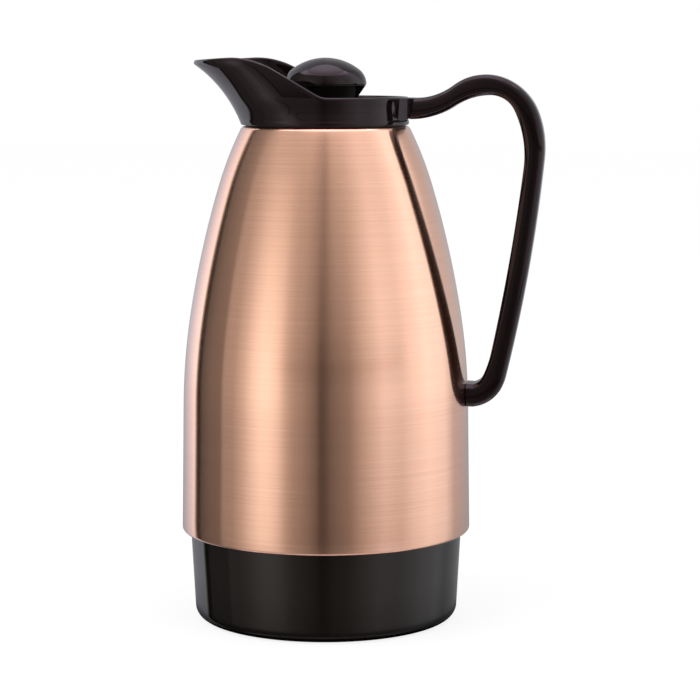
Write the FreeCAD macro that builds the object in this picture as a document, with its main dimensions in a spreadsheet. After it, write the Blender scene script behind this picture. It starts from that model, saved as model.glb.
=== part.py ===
import FreeCAD, Part
import math
import os

import Sketcher

# Insulated coffee carafe: a brushed metal jacket over a double glass liner, a moulded collar
# with a pouring spout, a side handle and a screw-in stopper with a domed knob.
# Millimetres, +Z up. The origin is on the jacket's axis, on the surface that the carafe stands on.
# The spout points to -X and the handle to +X.

# Driving dimensions
SIZES = {
    # Jacket
    "foot_height": 43.3,
    "foot_radius": 70.1,
    "jacket_height": 195.6,
    "jacket_top_radius": 40.8,
    "jacket_wall": 0.6,
    "foot_roll": 1.5,
    "foot_lip_width": 3.5,
    "jacket_flange_width": 6.8,
    # Base cup
    "base_set_back": 4.1,
    "rest_width": 6.0,
    "base_corner": 6.0,
    "base_flare": 2.0,
    "base_wall": 2.5,
    "base_floor": 3.2,
    "rest_groove_width": 5.0,
    "rest_groove_depth": 1.2,
    "base_spigot": 10.7,
    "snap_bead": 0.5,
    "boss_radius": 33.0,
    "boss_wall": 3.0,
    "boss_height": 16.8,
    "base_gap": 0.2,
    "ring_height": 12.0,
    # Collar
    "gasket_thickness": 0.6,
    "gasket_width": 4.6,
    "collar_set_back": 0.8,
    "collar_height": 13.4,
    "collar_wall": 3.0,
    "collar_waist": 0.6,
    "well_depth": 7.9,
    "well_ledge": 7.0,
    "seat_depth": 15.0,
    "seat_thickness": 3.0,
    "seat_ledge": 7.5,
    "spigot_wall": 3.7,
    # Spout
    "spout_reach": 23.2,
    "spout_curve_radius": 60.0,
    "spout_root": 0.5,
    "spout_lip_height": 28.8,
    "spout_tip_height": 30.7,
    "spout_crest_height": 32.0,
    "spout_crest_reach": 35.7,
    "spout_shoulder_reach": 19.0,
    "spout_shoulder_drop": 4.7,
    "spout_heel_reach": 1.2,
    "spout_heel_length": 4.9,
    "spout_heel_rise": 1.4,
    "spout_nose_radius": 37.0,
    "spout_root_radius": 38.5,
    "spout_wall": 2.6,
    # Handle
    "handle_width": 17.0,
    "handle_reach": 35.0,
    "handle_root_height": 10.0,
    "handle_root_drop": 0.5,
    "handle_lead_in": 0.5,
    "handle_foot_height": 11.1,
    "handle_foot_level": 104.9,
    "handle_lean": 2.1,
    "handle_outer_round": 3.0,
    "handle_inner_edge": 2.0,
    "stub_depth": 3.1,
    "tongue_width": 8.0,
    "tongue_height": 5.0,
    "tongue_depth": 4.6,
    "tongue_gap": 0.1,
    "plate_width": 18.0,
    "plate_height": 22.0,
    "plate_thickness": 4.0,
    "screw_radius": 1.9,
    "screw_gap": 0.1,
    "screw_head_radius": 4.0,
    "screw_head_height": 2.4,
    "handle_screw_bite": 10.0,
    # Glass liner
    "liner_gap": 12.8,
    "inner_glass": 1.4,
    "outer_glass": 1.5,
    "vacuum_gap": 5.0,
    "neck_set_back": 0.5,
    "neck_gap": 2.6,
    "lip_height": 2.0,
    "neck_height": 13.0,
    "shoulder_height": 45.0,
    "liner_lift": 27.0,
    "tip_length": 8.0,
    "tip_radius": 3.5,
    "pad_width": 12.0,
    "pad_height": 12.0,
    "pad_level": 70.0,
    "mouth_gasket": 2.0,
    "gasket_skirt": 6.0,
    "cushion_bore": 24.0,
    "cushion_skirt": 6.0,
    "cushion_wall": 4.0,
    "nut_height": 8.0,
    "nut_wall": 4.4,
    "nut_slot": 5.0,
    "nut_slot_depth": 1.6,
    # Stopper
    "plug_gap": 2.2,
    "plug_length": 24.0,
    "plug_wall": 2.0,
    "seal_height": 2.0,
    "seal_width": 6.6,
    "seal_gap": 0.1,
    "thread_clearance": 0.3,
    "thread_depth": 1.5,
    "thread_lead": 12.0,
    "thread_root": 1.8,
    "thread_crest": 1.0,
    "thread_rise": 6.6,
    "thread_inset": 2.0,
    "thread_overlap": 0.3,
    "barrel_wall": 4.7,
    "flute_width": 11.0,
    "flute_depth": 2.6,
    "disc_gap": 3.5,
    "disc_lift": 0.5,
    "disc_thickness": 2.3,
    "knob_radius": 19.6,
    "knob_root_radius": 12.0,
    "knob_root_height": 10.7,
    "knob_dome": 12.9,
    "knob_edge": 0.4,
    "knob_wall": 2.5,
    "cap_spigot": 14.0,
    "cap_spigot_depth": 4.4,
    "screw_well_radius": 4.5,
    "stopper_screw_length": 13.5,
    "cap_thickness": 2.2,
    "chamfer": 0.6,
    "overrun": 5.0,
}

# Shares of the jacket: how far up each bend is, and its radius as a share of the foot's
SIDE_HEIGHT_SHARE = 0.3145
SIDE_RADIUS_SHARE = 0.9869
FLANK_HEIGHT_SHARE = 0.5448
FLANK_RADIUS_SHARE = 0.9311
SHOULDER_HEIGHT_SHARE = 0.8599
SHOULDER_RADIUS_SHARE = 0.7282
# Shares of the collar's radius: where the handle's stub leaves it
STUB_REACH_SHARE = 0.89
STUB_SPREAD_SHARE = 0.425
# Shares of a glass bottle's radius: how its rounded bottom spreads and rises
DISH_SPREAD_SHARE = 0.62
DISH_RISE_SHARE = 0.10
CORNER_RISE_SHARE = 0.62
# Shares of the knob's radius and of its dome where the dome's side turns into its top
DOME_TURN_SHARE = 0.83
DOME_RISE_SHARE = 0.549
# Sections of the spout: height as a share of its crest's, and how much of the waist is drawn in
SPOUT_SECTION_SHARES = (
    (0.0, 0.4), (0.045, -0.15), (0.085, 0.5), (0.2, 1.0), (0.42, 0.0),
    (0.55, 0.0), (0.7, 0.0), (0.86, 0.0), (1.04, 0.0),
)
# Points of the handle: a share of the way from its root to the jacket's side, or of its reach
# beyond that side, and a share of the rim's height above its foot
HANDLE_OUTER_SWELL_SHARES = (0.699, 1.038)
HANDLE_OUTER_SHARES = (
    (0.4206, 1.0626), (0.9203, 0.9467), (0.9972, 0.802), (0.4909, 0.0895), (-0.0629, 0.0),
)
HANDLE_FOOT_RISE_SHARES = (0.002, 0.0831)
HANDLE_CROOK_SHARES = (-0.0372, 0.075)
HANDLE_INNER_SHARES = (
    (0.1834, 0.0971), (0.3008, 0.1772), (0.7222, 0.772), (0.5936, 0.9575), (0.2549, 1.0061),
)
HANDLE_INNER_SWELL_SHARES = (0.7075, 0.9699)
# Counts
THREAD_STARTS = 3
FLUTES = 4
NUT_SLOTS = 6
SPACER_PADS = 3

doc = FreeCAD.newDocument("coffee_carafe")
sheet = doc.addObject("Spreadsheet::Sheet", "Sizes")
for row, (name, value) in enumerate(SIZES.items(), start=1):
    sheet.set(f"A{row}", name)
    sheet.set(f"B{row}", str(value))
    sheet.setAlias(f"B{row}", name)
doc.recompute()


class Size:
    """A length with its value in millimetres and the sheet expression that gives it."""

    def __init__(self, value, text):
        self.value = float(value)
        self.text = text

    def __add__(self, other):
        return joined(self, "+", other, self.value + number(other))

    def __sub__(self, other):
        return joined(self, "-", other, self.value - number(other))

    def __mul__(self, other):
        return joined(self, "*", other, self.value * number(other))

    def __truediv__(self, other):
        return joined(self, "/", other, self.value / number(other))

    def __neg__(self):
        return Size(-self.value, f"(0 - {self.text})")


def number(length):
    """The plain value of a Size or of a number."""
    return length.value if isinstance(length, Size) else float(length)


def wording(length):
    """The sheet expression of a Size or of a number."""
    return length.text if isinstance(length, Size) else repr(float(length))


def joined(first, sign, second, value):
    """The Size that two terms make."""
    return Size(value, f"({wording(first)} {sign} {wording(second)})")


def size(name):
    """A driving dimension by its name in the sheet."""
    return Size(SIZES[name], f"Sizes.{name}")


# Sizes and levels that several pieces share
zero = Size(0, "0")
overrun = size("overrun")
wall = size("jacket_wall")
foot_level = size("foot_height")
foot_radius = size("foot_radius")
lip_radius = foot_radius - size("foot_lip_width")
jacket_top = foot_level + size("jacket_height")
jacket_top_radius = size("jacket_top_radius")
jacket_mouth = jacket_top_radius - size("jacket_flange_width")
collar_foot = jacket_top + size("gasket_thickness")
rim_level = collar_foot + size("collar_height")
collar_radius = jacket_top_radius - size("collar_set_back")
well_radius = collar_radius - size("collar_wall")
well_floor = rim_level - size("well_depth")
bore_radius = well_radius - size("well_ledge")
seat_radius = bore_radius - size("seat_ledge")
seat_level = well_floor - size("seat_depth")
spigot_foot = seat_level - size("seat_thickness")
spigot_radius = bore_radius + size("spigot_wall")
plug_radius = seat_radius - size("plug_gap")
barrel_foot = seat_level + size("seal_height")
barrel_top = well_floor + size("disc_lift")
barrel_radius = bore_radius - size("thread_depth") - size("thread_clearance")
plug_foot = barrel_foot - size("plug_length")
mouth_level = spigot_foot - size("mouth_gasket")
screw_hole = size("screw_radius") + size("screw_gap")
spout_reach = collar_radius + size("spout_reach")
handle_foot_centre = size("handle_foot_level") + size("handle_foot_height") / 2
disc_top = barrel_top + size("disc_thickness")
equator = disc_top + size("knob_root_height")

LINE = "line"
TANGENT = "arc tangent to the edge before it"
DOME = "arc centred on the axis, with one end on it"


def tangent_arc(start, heading, end):
    """Centre and turning side of the arc that leaves start along heading and reaches end."""
    left = FreeCAD.Vector(-heading.y, heading.x, 0)
    chord = end - start
    bend = 2 * chord.dot(left) / chord.dot(chord)
    centre = start + left * (1 / bend)
    side = math.copysign(1, bend)
    spoke = end - centre
    arrival = FreeCAD.Vector(-spoke.y, spoke.x, 0) * side
    return centre, side, arrival.normalize()


def dome_arc(start, end):
    """Centre and turning side of the arc about a centre on the axis, and its heading at its end."""
    pole, foot = (start, end) if start.x == 0 else (end, start)
    rise = foot.y - pole.y
    centre = FreeCAD.Vector(0, pole.y + (foot.x ** 2 + rise ** 2) / (2 * rise), 0)
    turn = (start - centre).cross(end - centre).z
    side = math.copysign(1, turn)
    spoke = end - centre
    return centre, side, (FreeCAD.Vector(-spoke.y, spoke.x, 0) * side).normalize()


def pin(sketch, edge, end, across, up):
    """Hold one end of an edge at its distances from the sketch's origin."""
    for kind, place, axis in (("DistanceX", across, -2), ("DistanceY", up, -1)):
        if number(place) == 0:
            sketch.addConstraint(Sketcher.Constraint("PointOnObject", edge, end, axis))
            continue
        if number(place) > 0:
            rule = Sketcher.Constraint(kind, -1, 1, edge, end, number(place))
            text = wording(place)
        else:
            rule = Sketcher.Constraint(kind, edge, end, -1, 1, -number(place))
            text = wording(-place)
        sketch.setExpression(f"Constraints[{sketch.addConstraint(rule)}]", text)


def draw(sketch, outline):
    """Draw a closed outline of points, bound to the sheet.

    A point is (across, up), with TANGENT or DOME third where an arc arrives at it.
    """
    corners = [FreeCAD.Vector(number(point[0]), number(point[1]), 0) for point in outline]
    kinds = [point[2] if len(point) > 2 else LINE for point in outline]
    count = len(outline)
    heading = (corners[1] - corners[0]).normalize()
    ends = []
    for start in range(count):
        here = corners[start]
        there = corners[(start + 1) % count]
        kind = kinds[(start + 1) % count]
        if kind == LINE:
            heading = (there - here).normalize()
            sketch.addGeometry(Part.LineSegment(here, there))
            ends.append((1, 2))
        else:
            if kind == TANGENT:
                centre, side, heading = tangent_arc(here, heading, there)
            else:
                centre, side, heading = dome_arc(here, there)
            circle = Part.Circle(centre, FreeCAD.Vector(0, 0, 1), (here - centre).Length)
            first, last = (here, there) if side > 0 else (there, here)
            low = circle.parameter(first)
            high = circle.parameter(last)
            sketch.addGeometry(Part.ArcOfCircle(circle, low, high if high > low else high + 2 * math.pi))
            ends.append((1, 2) if side > 0 else (2, 1))
    for edge in range(count):
        before = (edge - 1) % count
        arrival = kinds[(edge + 1) % count]
        rule = "Tangent" if arrival == TANGENT else "Coincident"
        if arrival == DOME:
            sketch.addConstraint(Sketcher.Constraint("PointOnObject", edge, 3, -2))
        sketch.addConstraint(Sketcher.Constraint(rule, before, ends[before][1], edge, ends[edge][0]))
        pin(sketch, edge, ends[edge][0], outline[edge][0], outline[edge][1])


def sketched_body(name, outline, plane_role="XZ_Plane"):
    """A body with one sketch of the outline on one of its own origin planes."""
    body = doc.addObject("PartDesign::Body", name)
    sketch = body.newObject("Sketcher::SketchObject", name + "_outline")
    plane = [feature for feature in body.Origin.OriginFeatures if feature.Role == plane_role][0]
    sketch.AttachmentSupport = [(plane, "")]
    sketch.MapMode = "FlatFace"
    draw(sketch, outline)
    return body, sketch


def turned(name, outline):
    """A body turned about +Z from an outline of radii and heights."""
    body, sketch = sketched_body(name, outline)
    revolution = body.newObject("PartDesign::Revolution", name + "_turned")
    revolution.Profile = sketch
    revolution.ReferenceAxis = (sketch, ["V_Axis"])
    revolution.Angle = 360
    return body


def plate(name, outline, width, plane_role="XZ_Plane"):
    """A body padded to both sides of its sketch's plane."""
    body, sketch = sketched_body(name, outline, plane_role)
    pad = body.newObject("PartDesign::Pad", name + "_pad")
    pad.Profile = sketch
    pad.SideType = "Symmetric"
    pad.setExpression("Length", wording(width))
    return body


def plate_flat(name, outline, foot, height):
    """A body padded upwards from a plan outline at the level foot."""
    body, sketch = sketched_body(name, outline, "XY_Plane")
    pad = body.newObject("PartDesign::Pad", name + "_pad")
    pad.Profile = sketch
    pad.setExpression("Length", wording(height))
    body.setExpression("Placement.Base.z", wording(foot))
    return body


def cylinder(name, radius, height, foot, along_x=False, across=0):
    """A cylinder on the Z axis, or on a line along X at the level foot."""
    item = doc.addObject("Part::Cylinder", name)
    item.setExpression("Radius", wording(radius))
    item.setExpression("Height", wording(height))
    item.setExpression("Placement.Base.z", wording(foot))
    if along_x:
        item.Placement.Rotation = FreeCAD.Rotation(FreeCAD.Vector(0, 1, 0), 90)
        item.setExpression("Placement.Base.x", wording(across))
    return item


def box(name, low, high, turn=0):
    """A box between two corners, turned about +Z by an angle in degrees."""
    item = doc.addObject("Part::Box", name)
    for side, start, end in zip(("Length", "Width", "Height"), low, high):
        item.setExpression(side, wording(end - start))
    corner = FreeCAD.Vector(*[number(place) for place in low])
    rotation = FreeCAD.Rotation(FreeCAD.Vector(0, 0, 1), turn)
    item.Placement = FreeCAD.Placement(rotation.multVec(corner), rotation)
    return item


def cut(name, base, *tools):
    """One object less one or more others."""
    item = doc.addObject("Part::Cut", name)
    item.Base = base
    item.Tool = tools[0] if len(tools) == 1 else fuse(name + "_tools", *tools)
    return item


def fuse(name, *items):
    """Several objects as one."""
    item = doc.addObject("Part::MultiFuse", name)
    item.Shapes = list(items)
    return item


def common(name, *items):
    """What several objects share."""
    item = doc.addObject("Part::MultiCommon", name)
    item.Shapes = list(items)
    return item


def fixed_shape(name, shape):
    """An object whose shape comes from the sizes in this file, where no feature fits."""
    item = doc.addObject("Part::Feature", name)
    item.Shape = shape
    return item


def jacket_outline(inset, grow):
    """Outline of the jacket's outside, or of the space within it, inset by its wall."""
    roll = size("foot_roll")
    height = size("jacket_height")
    level = foot_level + inset
    top = jacket_top - inset
    low = foot_level - grow
    high = jacket_top + grow
    points = [(zero, low), (lip_radius, low)]
    if inset is not zero:
        points += [(lip_radius, level)]
    points += [
        (foot_radius - roll, level),
        (foot_radius - inset, foot_level + roll, TANGENT),
        (foot_radius * SIDE_RADIUS_SHARE - inset, foot_level + height * SIDE_HEIGHT_SHARE),
        (foot_radius * FLANK_RADIUS_SHARE - inset, foot_level + height * FLANK_HEIGHT_SHARE, TANGENT),
        (foot_radius * SHOULDER_RADIUS_SHARE - inset, foot_level + height * SHOULDER_HEIGHT_SHARE, TANGENT),
        (jacket_top_radius - inset, jacket_top - roll, TANGENT),
        (jacket_top_radius - roll, top, TANGENT),
    ]
    if inset is not zero:
        points += [(jacket_mouth, top), (jacket_mouth, high)]
    return points + [(zero, high)]


def outer_shell():
    """Brushed jacket: a spun cover with a rolled foot and a flange turned in at its top."""
    outside = turned("jacket_outside", jacket_outline(zero, zero))
    space = turned("jacket_space", jacket_outline(wall, overrun))
    hole = cylinder(
        "jacket_screw_hole", screw_hole, overrun * 2, handle_foot_centre, True, foot_radius - overrun)
    cut("outer_shell", outside, space, hole)
    return outside, space


def base_parts():
    """Base cup, which carries the liner, and the ring in the jacket's foot that it snaps into."""
    corner = size("base_corner")
    top = foot_radius - size("base_set_back")
    low = top - size("base_flare")
    rest = low - corner
    cup_wall = size("base_wall")
    floor_top = size("base_floor")
    rest_inner = rest - size("rest_width")
    groove_inner = rest_inner - size("rest_groove_width")
    spigot_top = foot_level + size("base_spigot")
    bead = size("snap_bead")
    bead_level = foot_level + size("base_spigot") / 2
    boss = size("boss_radius")
    boss_top = floor_top + size("boss_height")
    boss_bore = boss - size("boss_wall")
    turned("base_cup", [
        (rest_inner, zero),
        (rest, zero),
        (low, corner, TANGENT),
        (top, foot_level),
        (top, bead_level),
        (top + bead, bead_level + bead),
        (top + bead, bead_level + bead * 2),
        (top, bead_level + bead * 3),
        (top, spigot_top),
        (top - cup_wall, spigot_top),
        (top - cup_wall, foot_level),
        (low - cup_wall, floor_top + corner),
        (rest - cup_wall, floor_top, TANGENT),
        (boss, floor_top),
        (boss, boss_top),
        (boss_bore, boss_top),
        (boss_bore, floor_top),
        (zero, floor_top),
        (zero, zero),
        (groove_inner, zero),
        (groove_inner, size("rest_groove_depth")),
        (rest_inner, size("rest_groove_depth")),
    ])
    gap = size("base_gap")
    inner = top + gap
    outer = foot_radius - wall - gap * 2
    ring_foot = foot_level + wall
    ring_top = ring_foot + size("ring_height")
    turned("base_ring", [
        (inner, ring_foot),
        (foot_radius - size("foot_roll"), ring_foot),
        (outer, foot_level + size("foot_roll")),
        (outer, ring_top),
        (inner, ring_top),
        (inner, bead_level + bead * 3 + gap),
        (inner + bead, bead_level + bead * 2 + gap),
        (inner + bead, bead_level + bead - gap),
        (inner, bead_level - gap),
    ])
    return boss, boss_top


def bottle_outline(radius, neck, foot, shoulder_foot, top):
    """Outside of a blown bottle: dished bottom, straight side, two-arc shoulder and neck."""
    rise = size("shoulder_height")
    middle = (radius + neck) / 2
    return [
        (zero, foot),
        (radius * DISH_SPREAD_SHARE, foot + radius * DISH_RISE_SHARE, DOME),
        (radius, foot + radius * CORNER_RISE_SHARE, TANGENT),
        (radius, shoulder_foot),
        (middle, shoulder_foot + rise / 2, TANGENT),
        (neck, shoulder_foot + rise, TANGENT),
        (neck, top),
        (zero, top),
    ]


def glass_liner():
    """Double glass liner: two bottles joined at the lip, spacer pads and the sealing tip."""
    thin = size("inner_glass")
    thick = size("outer_glass")
    gap = size("vacuum_gap")
    outer_radius = foot_radius * FLANK_RADIUS_SHARE - wall - size("liner_gap")
    inner = outer_radius - thick - gap - thin
    neck = seat_radius - size("neck_set_back")
    neck_foot = mouth_level - size("lip_height") - size("neck_height")
    shoulder_foot = neck_foot - size("shoulder_height")
    outer_neck = neck + thin + size("neck_gap") + thick
    lip_foot = mouth_level - size("lip_height")
    foot = size("liner_lift")
    outer_outside = turned("outer_bottle_outside", bottle_outline(
        outer_radius, outer_neck, foot, shoulder_foot, lip_foot))
    outer_space = turned("outer_bottle_space", bottle_outline(
        outer_radius - thick, outer_neck - thick, foot + thick, shoulder_foot, lip_foot + overrun))
    tip_length = size("tip_length")
    tip = cylinder("sealing_tip", size("tip_radius"), tip_length + thick / 2, foot - tip_length)
    fuse("outer_bottle", cut("outer_bottle_wall", outer_outside, outer_space), tip)
    inner_foot = foot + thick + gap
    inner_outside = turned("inner_bottle_outside", bottle_outline(
        inner + thin, neck + thin, inner_foot, shoulder_foot, mouth_level))
    inner_space = turned("inner_bottle_space", bottle_outline(
        inner, neck, inner_foot + thin, shoulder_foot, mouth_level + overrun))
    round_lip = size("lip_height") / 2
    lip = turned("liner_lip", [
        (neck, lip_foot),
        (outer_neck, lip_foot),
        (outer_neck, mouth_level - round_lip),
        (outer_neck - round_lip, mouth_level, TANGENT),
        (neck, mouth_level),
    ])
    cut("inner_bottle", fuse("inner_bottle_blank", inner_outside, lip), inner_space)
    pad_ring = turned("pad_ring", [
        (inner + thin, size("pad_level")),
        (inner + thin + gap, size("pad_level")),
        (inner + thin + gap, size("pad_level") + size("pad_height")),
        (inner + thin, size("pad_level") + size("pad_height")),
    ])
    half = size("pad_width") / 2
    bars = [box(
        f"pad_bar_{place}",
        (zero, -half, size("pad_level")),
        (outer_radius, half, size("pad_level") + size("pad_height")),
        360 / SPACER_PADS * place,
    ) for place in range(SPACER_PADS)]
    common("spacer_pads", pad_ring, fuse("pad_bars", *bars))
    return outer_outside, outer_neck, lip_foot


def liner_fittings(outer_outside, outer_neck, lip_foot, boss, boss_top):
    """Rubber cushion under the liner, and the gasket between its mouth and the collar."""
    gap = size("tongue_gap")
    cushion_wall = size("cushion_wall")
    blank = turned("cushion_blank", [
        (size("cushion_bore"), boss_top),
        (boss + gap, boss_top),
        (boss + gap, boss_top - size("cushion_skirt")),
        (boss + cushion_wall, boss_top - size("cushion_skirt")),
        (boss + cushion_wall, size("liner_lift") + boss * CORNER_RISE_SHARE),
        (size("cushion_bore"), size("liner_lift") + boss * CORNER_RISE_SHARE),
    ])
    cut("liner_cushion", blank, outer_outside)
    skirt = outer_neck + gap + size("mouth_gasket")
    turned("neck_gasket", [
        (seat_radius, mouth_level),
        (outer_neck + gap, mouth_level),
        (outer_neck + gap, lip_foot - size("gasket_skirt")),
        (skirt, lip_foot - size("gasket_skirt")),
        (skirt, spigot_foot),
        (seat_radius, spigot_foot),
    ])


def clamp_nut():
    """Slotted ring nut that draws the collar down onto the jacket's flange."""
    inner = spigot_radius + size("screw_gap")
    outer = inner + size("nut_wall")
    top = jacket_top - wall
    foot = top - size("nut_height")
    blank = turned("nut_blank", [(inner, foot), (outer, foot), (outer, top), (inner, top)])
    half = size("nut_slot") / 2
    slots = [box(
        f"nut_slot_{place}",
        (outer - size("nut_slot_depth"), -half, foot - overrun),
        (outer + overrun, half, top - size("nut_slot_depth")),
        360 / NUT_SLOTS * place,
    ) for place in range(NUT_SLOTS)]
    cut("clamp_ring", blank, *slots)


def collar_gasket():
    """Thin washer between the jacket's flange and the collar's foot."""
    inner = spigot_radius + size("screw_gap")
    outer = inner + size("gasket_width")
    turned("collar_gasket", [
        (inner, jacket_top), (outer, jacket_top), (outer, collar_foot), (inner, collar_foot)])


def spout_front(height):
    """Reach of the spout's front wall at a height above the collar's foot, on one hollow arc."""
    radius = number(size("spout_curve_radius"))
    root = number(collar_radius + size("spout_root"))
    run = number(spout_reach) - root
    rise = number(size("spout_lip_height"))
    chord = math.hypot(run, rise)
    offset = math.sqrt(radius ** 2 - (chord / 2) ** 2)
    centre_reach = root + run / 2 + offset * rise / chord
    centre_height = rise / 2 - offset * run / chord
    return centre_reach - math.sqrt(radius ** 2 - (height - centre_height) ** 2)


def hull_section(round_radius, nose_radius, front, level):
    """Plan section: a circle about the axis and a small nose circle, joined by their tangents."""
    nose_centre = front - nose_radius
    spread = math.acos((round_radius - nose_radius) / nose_centre)
    edges = []
    places = []
    for centre, radius in ((0, round_radius), (-nose_centre, nose_radius)):
        for side in (1, -1):
            places.append(FreeCAD.Vector(
                centre - radius * math.cos(spread), side * radius * math.sin(spread), level))
    back = FreeCAD.Vector(round_radius, 0, level)
    nose = FreeCAD.Vector(-front, 0, level)
    edges.append(Part.Arc(places[1], back, places[0]).toShape())
    edges.append(Part.LineSegment(places[0], places[2]).toShape())
    edges.append(Part.Arc(places[2], nose, places[3]).toShape())
    edges.append(Part.LineSegment(places[3], places[1]).toShape())
    return Part.Wire(edges)


def spout_hull(name, inset, low):
    """Solid of the collar and spout's outside, or of the space in it, from its plan sections."""
    crest = number(size("spout_crest_height"))
    foot = number(collar_foot)
    waist = number(size("collar_waist"))
    root_nose = number(size("spout_root_radius"))
    tip_nose = number(size("spout_nose_radius"))
    side_inset, front_inset = [number(step) for step in inset]
    shares = [(height, drawn_in) for height, drawn_in in SPOUT_SECTION_SHARES if height * crest > number(low)]
    if number(low) > 0:
        shares.insert(0, (number(low) / crest, 0.0))
    else:
        shares.insert(0, SPOUT_SECTION_SHARES[0])
    sections = []
    for height_share, waist_share in shares:
        height = height_share * crest
        round_radius = number(collar_radius) - (side_inset or waist * waist_share)
        nose = root_nose + (tip_nose - root_nose) * min(height / crest, 1) - front_inset
        front = spout_front(height) - front_inset
        sections.append(hull_section(round_radius, nose, front, foot + height))
    return fixed_shape(name, Part.makeLoft(sections, True, False))


def helix_ridge(radius, outward, foot, start_angle):
    """One thread ridge that stands out of a wall of the given radius, or into its bore."""
    lead = number(size("thread_lead"))
    side = 1 if outward else -1
    root = radius - side * number(size("thread_overlap"))
    crest = radius + side * number(size("thread_depth"))
    half_root = number(size("thread_root")) / 2
    half_crest = number(size("thread_crest")) / 2
    corners = [(root, -half_root), (crest, -half_crest), (crest, half_crest), (root, half_root)]
    points = [FreeCAD.Vector(across, 0, up) for across, up in corners + corners[:1]]
    spine = Part.makeHelix(lead, number(size("thread_rise")), radius)
    ridge = Part.Wire(spine.Edges).makePipeShell([Part.makePolygon(points)], True, True)
    ridge.rotate(FreeCAD.Vector(), FreeCAD.Vector(0, 0, 1), start_angle)
    ridge.translate(FreeCAD.Vector(0, 0, foot))
    return ridge


def thread(name, radius, outward, foot):
    """All starts of one side of the stopper's thread."""
    turn = 360 / THREAD_STARTS
    ridges = [
        helix_ridge(number(radius), outward, number(foot), turn * place)
        for place in range(THREAD_STARTS)
    ]
    return fixed_shape(name, Part.Compound(ridges))


def collar():
    """Collar in one moulding: rim, spout, well, threaded bore, seat, spigot and handle stub."""
    hull = spout_hull("spout_outside", (zero, zero), zero)
    crest_level = collar_foot + size("spout_crest_height")
    back = collar_radius + overrun
    keep = plate("crest_outline", [
        (-spout_reach, collar_foot),
        (-spout_reach, collar_foot + size("spout_tip_height")),
        (-size("spout_crest_reach"), crest_level),
        (-size("spout_shoulder_reach"), crest_level - size("spout_shoulder_drop"), TANGENT),
        (size("spout_heel_reach"), rim_level + size("spout_heel_rise")),
        (size("spout_heel_reach") + size("spout_heel_length"), rim_level, TANGENT),
        (back, rim_level),
        (back, collar_foot),
    ], back * 2)
    spigot = cylinder("collar_spigot", spigot_radius, collar_foot - spigot_foot + overrun, spigot_foot)
    stub_top = rim_level - size("handle_root_drop")
    stub_foot = stub_top - size("handle_root_height")
    face = collar_radius + size("stub_depth")
    half = size("handle_width") / 2
    root_half = collar_radius * STUB_SPREAD_SHARE
    root_reach = collar_radius * STUB_REACH_SHARE
    stub_plan = plate_flat("stub_plan", [
        (well_radius, -root_half + size("collar_wall")),
        (root_reach, -root_half),
        (face, -half),
        (face, half),
        (root_reach, root_half),
        (well_radius, root_half - size("collar_wall")),
    ], stub_foot, size("handle_root_height"))
    stub_side = plate("stub_side", [
        (well_radius - overrun, stub_foot),
        (face - size("handle_lean"), stub_foot),
        (face, stub_top),
        (well_radius - overrun, stub_top),
    ], back * 2)
    stub = common("stub", stub_plan, stub_side)
    blank = fuse("collar_blank", common("spout_trimmed", hull, keep), spigot, stub)
    gap = size("tongue_gap")
    tongue_middle = stub_top - size("handle_root_height") / 2
    half_width = size("tongue_width") / 2 + gap
    half_height = size("tongue_height") / 2 + gap
    socket = box(
        "tongue_socket",
        (face - size("tongue_depth") - gap, -half_width, tongue_middle - half_height),
        (face + overrun, half_width, tongue_middle + half_height),
    )
    space = spout_hull("spout_space", (size("collar_wall"), size("spout_wall")), well_floor - collar_foot)
    bore = cylinder("collar_bore", bore_radius, well_floor - seat_level + overrun / 2, seat_level)
    seat_hole = cylinder(
        "seat_hole", seat_radius, size("seat_thickness") + overrun * 2, spigot_foot - overrun)
    hollow = cut("collar_hollow", blank, space, bore, seat_hole, socket)
    pitch = size("thread_lead") / THREAD_STARTS
    ridges = thread("collar_thread", bore_radius, False, barrel_foot + size("thread_inset") + pitch / 2)
    fuse("collar", hollow, ridges)
    return tongue_middle, face, stub_top


def edges_on(shape, half_width, test):
    """Numbers of the edges that lie on the side faces and pass a test of their middle point."""
    found = []
    for index, edge in enumerate(shape.Edges, start=1):
        low, high = edge.ParameterRange
        points = [edge.valueAt(low + (high - low) * share) for share in (0.0, 0.5, 1.0)]
        on_side = all(abs(abs(point.y) - half_width) < half_width / 1000 for point in points)
        if on_side and test(points[1]):
            found.append(index)
    return found


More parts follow.
